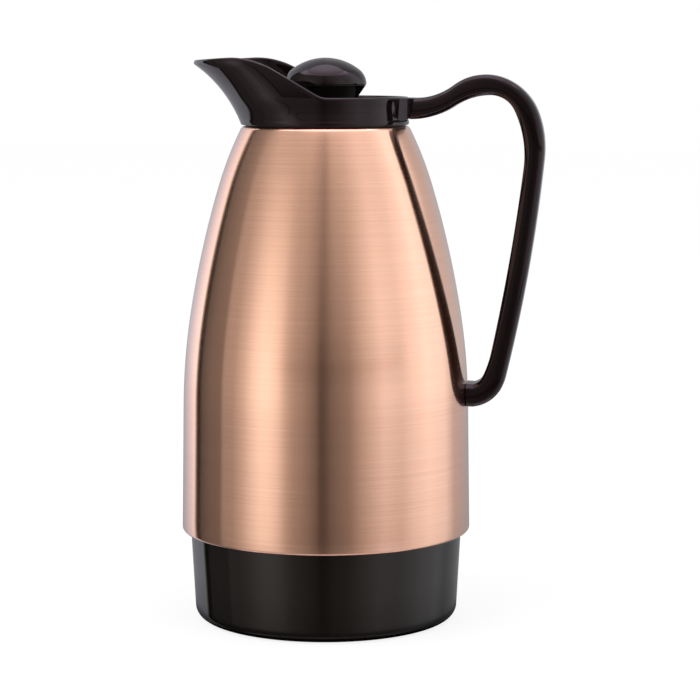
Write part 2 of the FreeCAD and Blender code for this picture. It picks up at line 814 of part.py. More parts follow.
def handle(tongue_middle, face, stub_top, outside):
    """Side handle: a padded profile with rounded outer edges, a tongue and a shaped foot."""
    low = size("handle_foot_level")
    rise = rim_level - low

    def swell(shares):
        return face + (foot_radius - face) * shares[0], low + rise * shares[1], TANGENT

    def at(shares, kind=TANGENT):
        return foot_radius + size("handle_reach") * shares[0], low + rise * shares[1], kind

    within = foot_radius - overrun
    underside, top_side = [low + rise * share for share in HANDLE_FOOT_RISE_SHARES]
    outline = [
        (face - size("handle_lean"), stub_top - size("handle_root_height"), TANGENT),
        (face, stub_top),
        (face + size("handle_lead_in"), stub_top),
        swell(HANDLE_OUTER_SWELL_SHARES),
    ]
    outline += [at(shares) for shares in HANDLE_OUTER_SHARES]
    outline += [(within, underside, TANGENT), (within, top_side), at(HANDLE_CROOK_SHARES, LINE)]
    outline += [at(shares) for shares in HANDLE_INNER_SHARES]
    outline += [swell(HANDLE_INNER_SWELL_SHARES)]
    body = plate("handle_bar", outline, size("handle_width"))
    doc.recompute()
    half = number(size("handle_width")) / 2
    edges = body.Group[0].Geometry
    foot_end = 4 + len(HANDLE_OUTER_SHARES)
    outer_edges = edges[2:foot_end]
    inner_edges = edges[foot_end + 2:]

    def near(curves):
        def test(point):
            flat = Part.Vertex(point.x, point.z, 0)
            return any(curve.toShape().distToShape(flat)[0] < half / 1000 for curve in curves)
        return test

    pad = body.Tip
    rounded = body.newObject("PartDesign::Fillet", "handle_outer_rounds")
    rounded.Base = (pad, [f"Edge{index}" for index in edges_on(pad.Shape, half, near(outer_edges))])
    rounded.setExpression("Radius", "Sizes.handle_outer_round")
    doc.recompute()
    eased = body.newObject("PartDesign::Chamfer", "handle_inner_chamfers")
    eased.Base = (rounded, [f"Edge{index}" for index in edges_on(rounded.Shape, half, near(inner_edges))])
    eased.setExpression("Size", "Sizes.handle_inner_edge")
    doc.recompute()
    half_tongue = size("tongue_width") / 2
    tongue = box(
        "handle_tongue",
        (face - size("tongue_depth"), -half_tongue, tongue_middle - size("tongue_height") / 2),
        (face + overrun, half_tongue, tongue_middle + size("tongue_height") / 2),
    )
    start = foot_radius - overrun
    pilot = cylinder(
        "handle_pilot", screw_hole, overrun + size("handle_screw_bite"), handle_foot_centre, True, start)
    cut("handle", fuse("handle_blank", body, tongue), outside, pilot)


def handle_fixings(space):
    """Saddle plate inside the jacket and the screw that holds the handle's foot."""
    seat = foot_radius * SIDE_RADIUS_SHARE - wall
    inner = seat - size("plate_thickness")
    half = size("plate_width") / 2
    blank = box(
        "plate_blank",
        (inner, -half, handle_foot_centre - size("plate_height") / 2),
        (seat + overrun, half, handle_foot_centre + size("plate_height") / 2),
    )
    hole = cylinder("plate_hole", screw_hole, overrun * 3, handle_foot_centre, True, inner - overrun)
    cut("handle_plate", common("plate_saddle", blank, space), hole)
    head = cylinder(
        "screw_head", size("screw_head_radius"), size("screw_head_height"), handle_foot_centre, True,
        inner - size("screw_head_height"))
    length = foot_radius + size("handle_screw_bite") - inner - overrun / 2
    shank = cylinder("screw_shank", size("screw_radius"), length, handle_foot_centre, True, inner)
    fuse("handle_screw", head, shank)


def stopper():
    """Stopper: threaded barrel and plug, bottom cap, foam core, seal, knob and its screw."""
    edge = size("chamfer")
    cavity = plug_radius - size("plug_wall")
    barrel_cavity = barrel_radius - size("barrel_wall")
    roof = barrel_top - size("cap_thickness")
    boss = size("screw_well_radius")
    boss_foot = barrel_foot + size("plug_wall")
    outside = turned("stopper_outside", [
        (zero, plug_foot),
        (plug_radius, plug_foot),
        (plug_radius, barrel_foot),
        (barrel_radius - edge, barrel_foot),
        (barrel_radius, barrel_foot + edge),
        (barrel_radius, barrel_top),
        (zero, barrel_top),
    ])
    space = turned("stopper_space", [
        (zero, plug_foot - overrun),
        (cavity, plug_foot - overrun),
        (cavity, boss_foot),
        (barrel_cavity, boss_foot + edge),
        (barrel_cavity, roof),
        (boss, roof),
        (boss, boss_foot),
        (zero, boss_foot),
    ])
    ridges = thread("stopper_thread", barrel_radius, True, barrel_foot + size("thread_inset"))
    half = size("flute_width") / 2
    flutes = [box(
        f"pour_flute_{place}",
        (barrel_radius - size("flute_depth"), -half, barrel_foot - overrun / 10),
        (bore_radius + overrun, half, barrel_top + overrun),
        360 / FLUTES * place + 180 / FLUTES,
    ) for place in range(FLUTES)]
    screw_top = disc_top + size("chamfer") * 2
    screw_foot = screw_top - size("stopper_screw_length")
    pilot_foot = screw_foot - size("screw_gap")
    pilot = cylinder("stopper_pilot", screw_hole, overrun + barrel_top - pilot_foot, pilot_foot)
    cut("stopper_body", fuse("stopper_blank", outside, ridges), space, pilot, *flutes)
    cap_foot = plug_foot - size("cap_thickness")
    turned("stopper_bottom_cap", [
        (zero, cap_foot),
        (plug_radius - edge, cap_foot),
        (plug_radius, cap_foot + edge),
        (plug_radius, plug_foot),
        (cavity, plug_foot),
        (cavity, plug_foot + size("plug_wall")),
        (cavity - size("plug_wall"), plug_foot + size("plug_wall")),
        (cavity - size("plug_wall"), plug_foot),
        (zero, plug_foot),
    ])
    turned("stopper_foam", [
        (zero, plug_foot),
        (cavity - size("plug_wall"), plug_foot),
        (cavity - size("plug_wall"), plug_foot + size("plug_wall")),
        (cavity, plug_foot + size("plug_wall")),
        (cavity, boss_foot),
        (zero, boss_foot),
    ])
    turned("stopper_seal", [
        (plug_radius + size("seal_gap"), seat_level),
        (plug_radius + size("seal_gap") + size("seal_width"), seat_level),
        (plug_radius + size("seal_gap") + size("seal_width"), barrel_foot),
        (plug_radius + size("seal_gap"), barrel_foot),
    ])
    return screw_top, screw_foot


def knob(screw_top, screw_foot):
    """Knob: lid disc with a flared stem, a domed cap on it and the screw that joins them to the barrel."""
    edge = size("chamfer")
    disc = well_radius - size("disc_gap")
    radius = size("knob_radius")
    socket = size("cap_spigot")
    socket_foot = equator - size("cap_spigot_depth")
    well = size("screw_well_radius")
    turned("knob_base", [
        (screw_hole, barrel_top),
        (disc - edge, barrel_top),
        (disc, barrel_top + edge),
        (disc, disc_top - edge),
        (disc - edge, disc_top),
        (size("knob_root_radius") + edge, disc_top),
        (size("knob_root_radius"), disc_top + edge),
        (radius, equator),
        (socket, equator),
        (socket, socket_foot),
        (well, socket_foot),
        (well, screw_top),
        (screw_hole, screw_top),
    ])
    dome = size("knob_dome") - size("knob_edge")
    spigot = socket - size("tongue_gap")
    inside = spigot - size("knob_wall")
    roof = equator + size("knob_edge") + dome * DOME_RISE_SHARE - size("knob_wall")
    turned("knob_cap", [
        (spigot, equator),
        (radius, equator),
        (radius, equator + size("knob_edge")),
        (radius * DOME_TURN_SHARE, equator + size("knob_edge") + dome * DOME_RISE_SHARE, TANGENT),
        (zero, equator + size("knob_dome"), DOME),
        (zero, roof + size("knob_wall")),
        (inside / 2, roof + size("knob_wall") / 2),
        (inside, roof),
        (inside, socket_foot),
        (spigot, socket_foot),
    ])
    head = cylinder("stopper_screw_head", size("screw_head_radius"), size("screw_head_height"), screw_top)
    shank = cylinder("stopper_screw_shank", size("screw_radius"), screw_top - screw_foot, screw_foot)
    fuse("stopper_screw", head, shank)


PARTS = (
    "outer_shell", "base_cup", "base_ring", "collar", "collar_gasket", "clamp_ring", "neck_gasket",
    "inner_bottle", "outer_bottle", "spacer_pads", "liner_cushion", "handle", "handle_plate",
    "handle_screw", "stopper_seal", "stopper_body", "stopper_bottom_cap", "stopper_foam",
    "knob_base", "knob_cap", "stopper_screw",
)

jacket_outside, jacket_space = outer_shell()
boss_radius, boss_top = base_parts()
bottle_outside, bottle_neck, bottle_lip = glass_liner()
liner_fittings(bottle_outside, bottle_neck, bottle_lip, boss_radius, boss_top)
clamp_nut()
collar_gasket()
tongue_level, parting, handle_top = collar()
handle(tongue_level, parting, handle_top, jacket_outside)
handle_fixings(jacket_space)
stopper_screw_top, stopper_screw_foot = stopper()
knob(stopper_screw_top, stopper_screw_foot)
doc.recompute()

for item in doc.Objects:
    troubles = [state for state in item.State if state in ("Invalid", "Error")]
    if troubles:
        raise RuntimeError(f"{item.Label} did not build: {item.getStatusString()}")

os.makedirs("parts", exist_ok=True)
for label in PARTS:
    part = doc.getObjectsByLabel(label)[0]
    if part.Shape.isNull() or not part.Shape.isValid():
        raise RuntimeError(f"{label} has no valid shape")
    part.Shape.exportStep(f"parts/{label}.step")
    print(f"{label}: {len(part.Shape.Solids)} solid(s), {part.Shape.Volume / 1000:.2f} ml")
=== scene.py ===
"""A coffee carafe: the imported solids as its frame, finished shells around them, and a soft studio."""
import logging
import math
from dataclasses import dataclass
from enum import Enum
from itertools import zip_longest
from typing import Sequence

import bmesh
import bpy
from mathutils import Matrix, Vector


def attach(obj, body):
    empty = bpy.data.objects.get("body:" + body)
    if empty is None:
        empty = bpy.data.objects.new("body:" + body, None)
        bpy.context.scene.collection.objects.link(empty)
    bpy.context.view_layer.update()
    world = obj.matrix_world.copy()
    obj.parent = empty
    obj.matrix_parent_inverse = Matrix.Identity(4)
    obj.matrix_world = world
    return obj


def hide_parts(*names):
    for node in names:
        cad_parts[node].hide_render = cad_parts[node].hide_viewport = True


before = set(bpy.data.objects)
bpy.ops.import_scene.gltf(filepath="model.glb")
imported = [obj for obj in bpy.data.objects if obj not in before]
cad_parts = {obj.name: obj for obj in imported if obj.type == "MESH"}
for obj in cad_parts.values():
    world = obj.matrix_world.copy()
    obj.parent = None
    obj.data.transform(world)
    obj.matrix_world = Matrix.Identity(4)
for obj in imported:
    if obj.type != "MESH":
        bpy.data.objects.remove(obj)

LOG = logging.getLogger("carafe")
MM = 0.001

Node = bpy.types.Node
Socket = bpy.types.NodeSocket
Material = bpy.types.Material
Piece = bpy.types.Object
Point = tuple[float, float]
Triple = tuple[float, float, float]
Colour = Triple

MERGE = 0.002 * MM
ON_AXIS = 1e-4
WHITE = (1.0, 1.0, 1.0, 1.0)


class Slot(Enum):
    """The record's material slots."""

    COPPER = "copper_jacket"
    BROWN = "brown_plastic"
    BLACK = "black_plastic"
    GLASS = "silvered_glass"
    RUBBER = "rubber"
    SEAL = "seal"
    PAD = "pad"
    FOAM = "foam"
    STEEL = "steel"


class Body(Enum):
    """The bodies that pieces ride on."""

    CARAFE = "carafe"
    STOPPER = "stopper"


class Tree:
    """The emptied node tree of a new material or world, with short ways to add its nodes and join them."""

    def __init__(self, owner: bpy.types.ID) -> None:
        """Empties the tree.

        Args:
            owner: The new material or world.
        """
        self.owner = owner
        owner.use_nodes = True
        self.nodes = owner.node_tree.nodes
        self.links = owner.node_tree.links
        self.nodes.clear()

    @classmethod
    def of_material(cls, name: str) -> "Tree":
        """Returns the tree of a new material."""
        return cls(bpy.data.materials.new(name))

    def put(self, value: object, socket: Socket) -> None:
        """Links another node's socket to a socket, or sets the socket to a plain value.

        Args:
            value: The other socket or the value. Three numbers are a colour.
            socket: The socket.
        """
        if isinstance(value, Socket):
            self.links.new(value, socket)
        elif socket.type == "RGBA" and len(value) == 3:
            socket.default_value = (*value, 1.0)
        else:
            socket.default_value = value

    def add(self, kind: str, **values: object) -> Node:
        """Adds a node.

        Args:
            kind: The node's type, without the word ShaderNode.
            **values: Socket values by name, with underscores for spaces, or the node's own settings.

        Returns:
            The node.
        """
        node = self.nodes.new("ShaderNode" + kind)
        for name, value in values.items():
            socket = node.inputs.get(name.replace("_", " "))
            if socket is None:
                setattr(node, name, value)
            else:
                self.put(value, socket)
        return node

    def maths(self, operation: str, first: object, second: object = 0.0, clamp: bool = False) -> Socket:
        """Adds a Math node.

        Args:
            operation: Its operation.
            first: A socket or a number.
            second: A socket or a number.
            clamp: Whether the result is kept from 0 to 1.

        Returns:
            Its result's socket.
        """
        node = self.add("Math", operation=operation, use_clamp=clamp)
        self.put(first, node.inputs[0])
        self.put(second, node.inputs[1])
        return node.outputs[0]

    def rise(self, value: Socket, start: object, length: float) -> Socket:
        """Returns how far a value is along a stretch from a start on, from 0 to 1."""
        return self.maths("DIVIDE", self.maths("SUBTRACT", value, start), length, clamp=True)

    def span(self, value: Socket, low: object, high: object) -> Socket:
        """Spreads a value that runs from 0 to 1 over another range, whose ends are numbers or sockets."""
        return self.add("MapRange", Value=value, To_Min=low, To_Max=high).outputs[0]

    def grain(self, scale: Sequence[float], detail: float = 2.0, roughness: float = 0.5) -> Socket:
        """Adds noise on the object's own coordinates.

        Args:
            scale: The noise's scale along X, Y and Z, per metre.
            detail: Its octaves.
            roughness: How strong the finer octaves are.

        Returns:
            The noise's value socket, from 0 to 1.
        """
        place = self.add("TexCoord").outputs["Object"]
        mapping = self.add("Mapping", Vector=place, Scale=tuple(scale))
        return self.add(
            "TexNoise", Vector=mapping.outputs[0], Scale=1.0, Detail=detail, Roughness=roughness).outputs[0]

    def blend(self, amount: object, first: object, second: object, kind: str = "MIX") -> Socket:
        """Mixes two colours.

        Args:
            amount: How much of the second shows, as a socket or a number.
            first: The first colour, linear, or its socket.
            second: The second colour, linear, or its socket.
            kind: The way of mixing.

        Returns:
            The colour's socket.
        """
        mix = self.add("Mix", data_type="RGBA", blend_type=kind)
        self.put(amount, mix.inputs["Factor"])
        self.put(first, mix.inputs[6])
        self.put(second, mix.inputs[7])
        return mix.outputs[2]

    def ramp(self, value: Socket, stops: Sequence[Point]) -> Socket:
        """Adds a grey ramp.

        Args:
            value: What the ramp goes by, from 0 to 1.
            stops: Each stop's place and level, both from 0 to 1.

        Returns:
            The level's socket.
        """
        node = self.add("ValToRGB", Fac=value)
        elements = node.color_ramp.elements
        while len(elements) < len(stops):
            elements.new(1.0)
        for element, (place, level) in zip(elements, stops):
            element.position = place
            element.color = (level, level, level, 1.0)
        return node.outputs[0]

    def radius(self) -> Socket:
        """Returns the distance from the Z axis, on the object's own coordinates."""
        split = self.add("SeparateXYZ", Vector=self.add("TexCoord").outputs["Object"])
        squares = [self.maths("MULTIPLY", split.outputs[axis], split.outputs[axis]) for axis in "XY"]
        return self.maths("SQRT", self.maths("ADD", *squares))

    def seen(self) -> Socket:
        """Returns 1 for a ray that the eye, a mirror or a glass sends, and 0 for any other."""
        path = self.add("LightPath")
        value = path.outputs["Is Camera Ray"]
        for name in ("Is Glossy Ray", "Is Transmission Ray"):
            value = self.maths("ADD", value, path.outputs[name], clamp=True)
        return value

    def finish(self, shader: Node) -> bpy.types.ID:
        """Joins the last shader to the output.

        Args:
            shader: The node whose first output is the surface.

        Returns:
            The material or world.
        """
        kind = "World" if isinstance(self.owner, bpy.types.World) else "Material"
        self.put(shader.outputs[0], self.add("Output" + kind).inputs["Surface"])
        return self.owner


@dataclass(frozen=True)
class Finish:
    """What every finish has: two colours and two roughnesses that it wanders between, and a relief."""

    name: str
    colour: Colour
    second: Colour
    roughness: Point
    relief: float
    relief_strength: float

    def surface(self, tree: Tree, tone: Socket, height: Socket, **values: object) -> Material:
        """Makes the material of the finish.

        Args:
            tree: Its tree.
            tone: The socket that its colour and roughness follow, from 0 to 1.
            height: The socket that its relief follows, from 0 to 1.
            **values: More values of the principled shader.

        Returns:
            The material.
        """
        bump = tree.add("Bump", Height=height, Strength=self.relief_strength, Distance=self.relief)
        return tree.finish(tree.add(
            "BsdfPrincipled",
            Base_Color=tree.blend(tone, self.colour, self.second),
            Roughness=tree.span(tone, *self.roughness),
            Normal=bump.outputs[0],
            **values,
        ))


@dataclass(frozen=True)
class BrushedCopper(Finish):
    """Copper-coloured steel, lacquered and brushed round the body, so highlights spread up and down."""

    name: str = "brushed_copper"
    colour: Colour = (0.85, 0.44, 0.285)
    second: Colour = (0.97, 0.54, 0.365)
    roughness: Point = (0.13, 0.17)
    relief: float = 0.02 * MM
    relief_strength: float = 0.22
    across_scale: float = 2000.0
    along_scale: float = 7.0
    broad_scale: float = 1 / 6
    broad_share: float = 0.15
    tone_ends: Point = (0.18, 0.82)
    spread: float = 0.95
    quarter_turn: float = 0.25
    lacquer: float = 0.9
    lacquer_roughness: float = 0.10

    def make(self) -> Material:
        """Returns the material."""
        tree = Tree.of_material(self.name)
        along = self.along_scale
        fine = tree.grain((along, along, self.across_scale), detail=3.0, roughness=0.6)
        broad = tree.grain((along, along, self.across_scale * self.broad_scale))
        fine_part = tree.maths("MULTIPLY", fine, 1 - self.broad_share)
        lines = tree.maths("ADD", fine_part, tree.maths("MULTIPLY", broad, self.broad_share))
        low, high = self.tone_ends
        return self.surface(
            tree, tree.add("MapRange", Value=lines, From_Min=low, From_Max=high).outputs[0], fine,
            Metallic=1.0, Anisotropic=self.spread, Anisotropic_Rotation=self.quarter_turn,
            Coat_Weight=self.lacquer, Coat_Roughness=self.lacquer_roughness,
            Tangent=tree.add("Tangent", direction_type="RADIAL", axis="Z").outputs[0],
        )


@dataclass(frozen=True)
class Moulded(Finish):
    """A smooth moulded plastic or rubber, with the faint unevenness of its mould."""

    relief: float = 0.004 * MM
    relief_strength: float = 0.3
    specular: float = 0.28
    sheen: Colour = (1.0, 1.0, 1.0)
    mottle: float = 120.0
    grain_scale: float = 2600.0

    def make(self) -> Material:
        """Returns the material."""
        tree = Tree.of_material(self.name)
        cloud, grain = (tree.grain((scale,) * 3) for scale in (self.mottle, self.grain_scale))
        return self.surface(tree, cloud, grain, Specular_IOR_Level=self.specular, Specular_Tint=self.sheen)


@dataclass(frozen=True)
class BareMetal(Finish):
    """A bright metal, plain or silvered, with drawn-out marks of its making."""

    relief: float = 0.01 * MM
    relief_strength: float = 0.2
    marks: Triple = (400.0, 400.0, 900.0)

    def make(self) -> Material:
        """Returns the material."""
        tree = Tree.of_material(self.name)
        mark = tree.grain(self.marks, detail=3.0)
        return self.surface(tree, mark, mark, Metallic=1.0)


class Finishes:
    """Every finish of the carafe, one material for each slot."""

    def __init__(self) -> None:
        """Makes the materials."""
        finishes = {
            Slot.COPPER: BrushedCopper(),
            Slot.BROWN: Moulded(
                "brown_plastic", (0.0048, 0.0026, 0.0029), (0.0040, 0.0021, 0.0024), (0.03, 0.06),
                specular=0.34, sheen=(1.0, 0.79, 0.80)),
            Slot.BLACK: Moulded(
                "black_plastic", (0.0030, 0.0023, 0.0020), (0.0026, 0.0020, 0.0018), (0.03, 0.06),
                specular=0.48, sheen=(1.0, 0.84, 0.77)),
            Slot.GLASS: BareMetal("silvered_glass", (0.86, 0.87, 0.88), (0.80, 0.81, 0.82), (0.03, 0.06)),
            Slot.RUBBER: Moulded("rubber", (0.012, 0.012, 0.012), (0.016, 0.016, 0.016), (0.55, 0.68)),
            Slot.SEAL: Moulded("seal", (0.42, 0.40, 0.37), (0.46, 0.44, 0.41), (0.40, 0.50)),
            Slot.PAD: Moulded("pad", (0.30, 0.28, 0.25), (0.34, 0.32, 0.29), (0.75, 0.85)),
            Slot.FOAM: Moulded("foam", (0.75, 0.72, 0.64), (0.68, 0.65, 0.57), (0.85, 0.95), 0.2 * MM),
            Slot.STEEL: BareMetal("steel", (0.62, 0.62, 0.62), (0.52, 0.52, 0.52), (0.18, 0.32)),
        }
        self.of_slot = {slot: finish.make() for slot, finish in finishes.items()}

    def dress(self, piece: Piece, slot: Slot) -> None:
        """Gives a whole piece the finish of one slot."""
        piece.data.materials.clear()
        piece.data.materials.append(self.of_slot[slot])

    def dress_nodes(self) -> None:
        """Gives each carried-over solid the finish that its slot names."""
        for name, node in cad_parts.items():
            for place in node.material_slots:
                kind = place.material.name.split(".")[0]
                place.material = self.of_slot[Slot(kind)]
            LOG.info("dressed %s", name)


def unit(vector: Vector) -> Vector:
    """Returns a vector's direction."""
    return vector.normalized()


def way(angle: float) -> Vector:
    """Returns the flat direction at an angle, in radians."""
    return Vector((math.cos(angle), math.sin(angle)))


def shares(count: int) -> list[float]:
    """Returns the even shares from 0 to 1 that cut something into so many parts."""
    return [step / count for step in range(count + 1)]


class Line:
    """A flat line of straight runs and tangent arcs, kept as one list of points for each stretch."""

    def __init__(self, start: Point, heading: Point = (0.0, 0.0)) -> None:
        """Starts the line.

        Args:
            start: Its first point.
            heading: The way it sets out, where an arc comes first.
        """
        self.end = Vector(start)
        self.heading = Vector(heading)
        self.spans: list[list[Vector]] = []

    def run(self, end: Point, steps: int = 1) -> "Line":
        """Adds a straight run.

        Args:
            end: Where it ends.
            steps: How many parts it has.

        Returns:
            The line itself.
        """
        end = Vector(end)
        self.spans.append([self.end.lerp(end, share) for share in shares(steps)])
        self.heading = unit(end - self.end)
        self.end = end
        return self

    def arc(self, end: Point, steps: int = 8) -> "Line":
        """Adds an arc that sets out along the line's heading.

        Args:
            end: Where it ends.
            steps: How many parts it has.

        Returns:
            The line itself.
        """
        end = Vector(end)
        left = Vector((-self.heading.y, self.heading.x))
        chord = end - self.end
        bend = 2 * chord.dot(left) / chord.dot(chord)
        centre = self.end + left / bend
        first, last = self.end - centre, end - centre
        turn = first.angle(last)
        if chord.dot(self.heading) <= 0:
            turn = 2 * math.pi - turn
        turn *= math.copysign(1, bend)
        span = []
        for share in shares(steps):
            across, up = math.cos(turn * share), math.sin(turn * share)
            span.append(centre + Vector((first.x * across - first.y * up, first.x * up + first.y * across)))
        self.spans.append(span)
        self.heading = unit(Vector((-last.y, last.x)) * math.copysign(1, bend))
        self.end = end
        return self

    def points(self) -> list[Vector]:
        """Returns every point once, in order."""
        line = [self.spans[0][0]]
        for span in self.spans:
            line += span[1:]
        return line


def met(line: Sequence[Vector], reach: float) -> float:
    """Returns a line's height at a reach.

    Args:
        line: The line's points, none of which lies behind the one before.
        reach: The place along X.
    """
    for low, high in zip(line, line[1:]):
        if reach <= high.x:
            return low.y + (high.y - low.y) * (reach - low.x) / (high.x - low.x)
    return line[-1].y


def eased(corners: Sequence[Triple], steps: int = 5, closed: bool = False) -> list[Vector]:
    """Rounds the corners of a flat outline.

    Args:
        corners: Each corner's two coordinates and its radius, in the same unit.
        steps: How many parts each round has.
        closed: Whether the last corner leads back to the first.

    Returns:
        The outline's points.
    """
    line = []
    count = len(corners)
    almost_straight = math.radians(89)
    most = 0.48
    for index, (across, up, radius) in enumerate(corners):
        corner = Vector((across, up))
        inner = closed or 0 < index < count - 1
        if not inner or radius <= 0:
            line.append(corner)
            continue
        back = Vector(corners[index - 1][:2]) - corner
        ahead = Vector(corners[(index + 1) % count][:2]) - corner
        half = back.angle(ahead) / 2
        if half > almost_straight:
            line.append(corner)
            continue
        reach = min(radius / math.tan(half), back.length * most, ahead.length * most)
        centre = corner + unit(unit(back) + unit(ahead)) * (reach / math.cos(half))
        first = corner + unit(back) * reach - centre
        last = corner + unit(ahead) * reach - centre
        turn = first.angle(last)
        for share in shares(steps):
            part = first * math.sin((1 - share) * turn) + last * math.sin(share * turn)
            line.append(centre + part / math.sin(turn))
    return line


class Bench:
    """Modelling moves that the sub-assemblies share."""

    @staticmethod
    def start(name: str) -> Piece:
        """Names the primitive that was just added and opens it in edit mode.

        Args:
            name: The piece's name.

        Returns:
            The piece.
        """
        piece = bpy.context.object
        piece.name = name
        piece.data.name = name
        bpy.ops.object.transform_apply(location=True, rotation=True, scale=True)
        bpy.ops.object.mode_set(mode="EDIT")
        bpy.ops.mesh.select_mode(type="VERT")
        return piece

    @staticmethod
    def close(piece: Piece, smooth: float) -> Piece:
        """Merges seams, points the faces outwards, leaves edit mode and smooths the shading.

        Args:
            piece: The piece, in edit mode.
            smooth: Edges sharper than this many degrees stay sharp.

        Returns:
            The piece.
        """
        bpy.ops.mesh.select_all(action="SELECT")
        bpy.ops.mesh.remove_doubles(threshold=MERGE)
        bpy.ops.mesh.dissolve_degenerate(threshold=MERGE)
        bpy.ops.mesh.normals_make_consistent(inside=False)
        bpy.ops.object.mode_set(mode="OBJECT")
        bpy.ops.object.shade_smooth_by_angle(angle=math.radians(smooth))
        return piece

    @classmethod
    def turned(
        cls, name: str, outline: Sequence[Vector], sides: int = 256, smooth: float = 40.0
    ) -> Piece:
        """Turns an outline about Z, closed unless both its ends lie on the axis.

        Args:
            name: The piece's name.
            outline: Radius and height of each point, in millimetres.
            sides: How many sides a full turn has.
            smooth: Edges sharper than this many degrees stay sharp.

        Returns:
            The piece.
        """
        bpy.ops.object.select_all(action="DESELECT")
        first = outline[0]
        bpy.ops.mesh.primitive_plane_add(size=MM, location=(first.x * MM, 0.0, first.y * MM))
        piece = cls.start(name)
        bpy.ops.mesh.select_all(action="SELECT")
        bpy.ops.mesh.merge(type="CENTER")
        place = first
        ends = [] if abs(first.x) + abs(outline[-1].x) < ON_AXIS else [first]
        for point in list(outline[1:]) + ends:
            step = (point - place) * MM
            bpy.ops.mesh.extrude_region_move(TRANSFORM_OT_translate={"value": (step.x, 0.0, step.y)})
            place = point
        bpy.ops.mesh.select_all(action="SELECT")
        bpy.ops.mesh.spin(steps=sides, angle=2 * math.pi, center=(0.0, 0.0, 0.0), axis=(0.0, 0.0, 1.0))
        return cls.close(piece, smooth)

    @classmethod
    def lofted(
        cls, name: str, rings: Sequence[Sequence[Vector]], joined: bool, smooth: float = 40.0
    ) -> Piece:
        """Draws a ring out through a row of sections, with as many points in each.

        Args:
            name: The piece's name.
            rings: The sections' points, in millimetres.
            joined: Whether the last section leads back to the first, rather than both being capped.
            smooth: Edges sharper than this many degrees stay sharp.

        Returns:
            The piece.
        """
        bpy.ops.object.select_all(action="DESELECT")
        bpy.ops.mesh.primitive_circle_add(
            vertices=len(rings[0]), radius=MM, fill_type="NOTHING" if joined else "NGON")
        piece = cls.start(name)
        shape = bmesh.from_edit_mesh(piece.data)
        order = shape.verts.layers.int.new("order")
        for index, vertex in enumerate(shape.verts):
            vertex[order] = index
        cls.place(piece, rings[0])
        for ring in list(rings[1:]) + ([rings[0]] if joined else []):
            bpy.ops.mesh.extrude_region_move()
            cls.place(piece, ring)
        return cls.close(piece, smooth)

    @staticmethod
    def place(piece: Piece, ring: Sequence[Vector]) -> None:
        """Moves the selected ring's points to their places.

        Args:
            piece: The piece, in edit mode.
            ring: The places, in millimetres, in the ring's order.
        """
        shape = bmesh.from_edit_mesh(piece.data)
        order = shape.verts.layers.int["order"]
        for vertex in shape.verts:
            if vertex.select:
                vertex.co = ring[vertex[order]] * MM
        bmesh.update_edit_mesh(piece.data)

    @staticmethod
    def apply(piece: Piece, kind: str, **settings: object) -> None:
        """Adds a modifier and applies it.

        Args:
            piece: The piece.
            kind: The modifier's type.
            **settings: Its settings.
        """
        bpy.ops.object.select_all(action="DESELECT")
        bpy.context.view_layer.objects.active = piece
        piece.select_set(True)
        modifier = piece.modifiers.new(kind.lower(), kind)
        for setting, value in settings.items():
            setattr(modifier, setting, value)
        bpy.ops.object.modifier_apply(modifier=modifier.name)

    @staticmethod
    def join(piece: Piece, others: Sequence[Piece]) -> Piece:
        """Joins other pieces into one.

        Args:
            piece: The piece that stays.
            others: The pieces that go into it.

        Returns:
            The piece.
        """
        bpy.ops.object.select_all(action="DESELECT")
        for other in (*others, piece):
            other.select_set(True)
        bpy.context.view_layer.objects.active = piece
        bpy.ops.object.join()
        return piece


def place_piece(piece: Piece, body: Body, slot: Slot, finishes: Finishes, *nodes: str) -> None:
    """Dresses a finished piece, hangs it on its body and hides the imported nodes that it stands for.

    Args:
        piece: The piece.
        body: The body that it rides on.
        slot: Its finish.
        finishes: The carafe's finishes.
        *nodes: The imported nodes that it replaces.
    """
    finishes.dress(piece, slot)
    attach(piece, body.value)
    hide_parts(*nodes)
    LOG.info("%s: %d faces, stands for %s", piece.name, len(piece.data.polygons), ", ".join(nodes))


@dataclass
class Jacket:
    """The brushed outer shell, in millimetres."""

    foot: float = 43.3
    height: float = 195.6
    foot_radius: float = 70.1
    top_radius: float = 40.8
    wall: float = 0.6
    roll: float = 1.5
    lip: float = 3.5
    flange: float = 6.8
    bends: tuple[Point, ...] = ((0.3145, 0.9869), (0.5448, 0.9311), (0.8599, 0.7282))

    def side(self, inset: float) -> Line:
        """Draws the side from the foot's lip to the top's mouth.

        Args:
            inset: How far inside the outer face it runs.

        Returns:
            The line.
        """
        top = self.foot + self.height
        (side_height, side_radius), *others = self.bends
        line = Line((self.foot_radius - self.lip, self.foot + inset))
        line.run((self.foot_radius - self.roll, self.foot + inset))
        line.arc((self.foot_radius - inset, self.foot + self.roll))
        line.run((self.foot_radius * side_radius - inset, self.foot + self.height * side_height), 10)
        for height, radius in others:
            line.arc((self.foot_radius * radius - inset, self.foot + self.height * height), steps=14)
        line.arc((self.top_radius - inset, top - self.roll), steps=12)
        line.arc((self.top_radius - self.roll, top - inset))
        return line.run((self.top_radius - self.flange, top - inset))

    def radius_at(self, level: float) -> float:
        """Returns the outer face's radius at a height above the floor."""
        return met([Vector((point.y, point.x)) for point in self.side(0.0).points()], level)

    def build(self, finishes: Finishes) -> None:
        """Builds the shell."""
        outline = self.side(0.0).points() + self.side(self.wall).points()[::-1]
        piece = Bench.turned("jacket", outline, sides=320)
        place_piece(piece, Body.CARAFE, Slot.COPPER, finishes, "outer_shell")


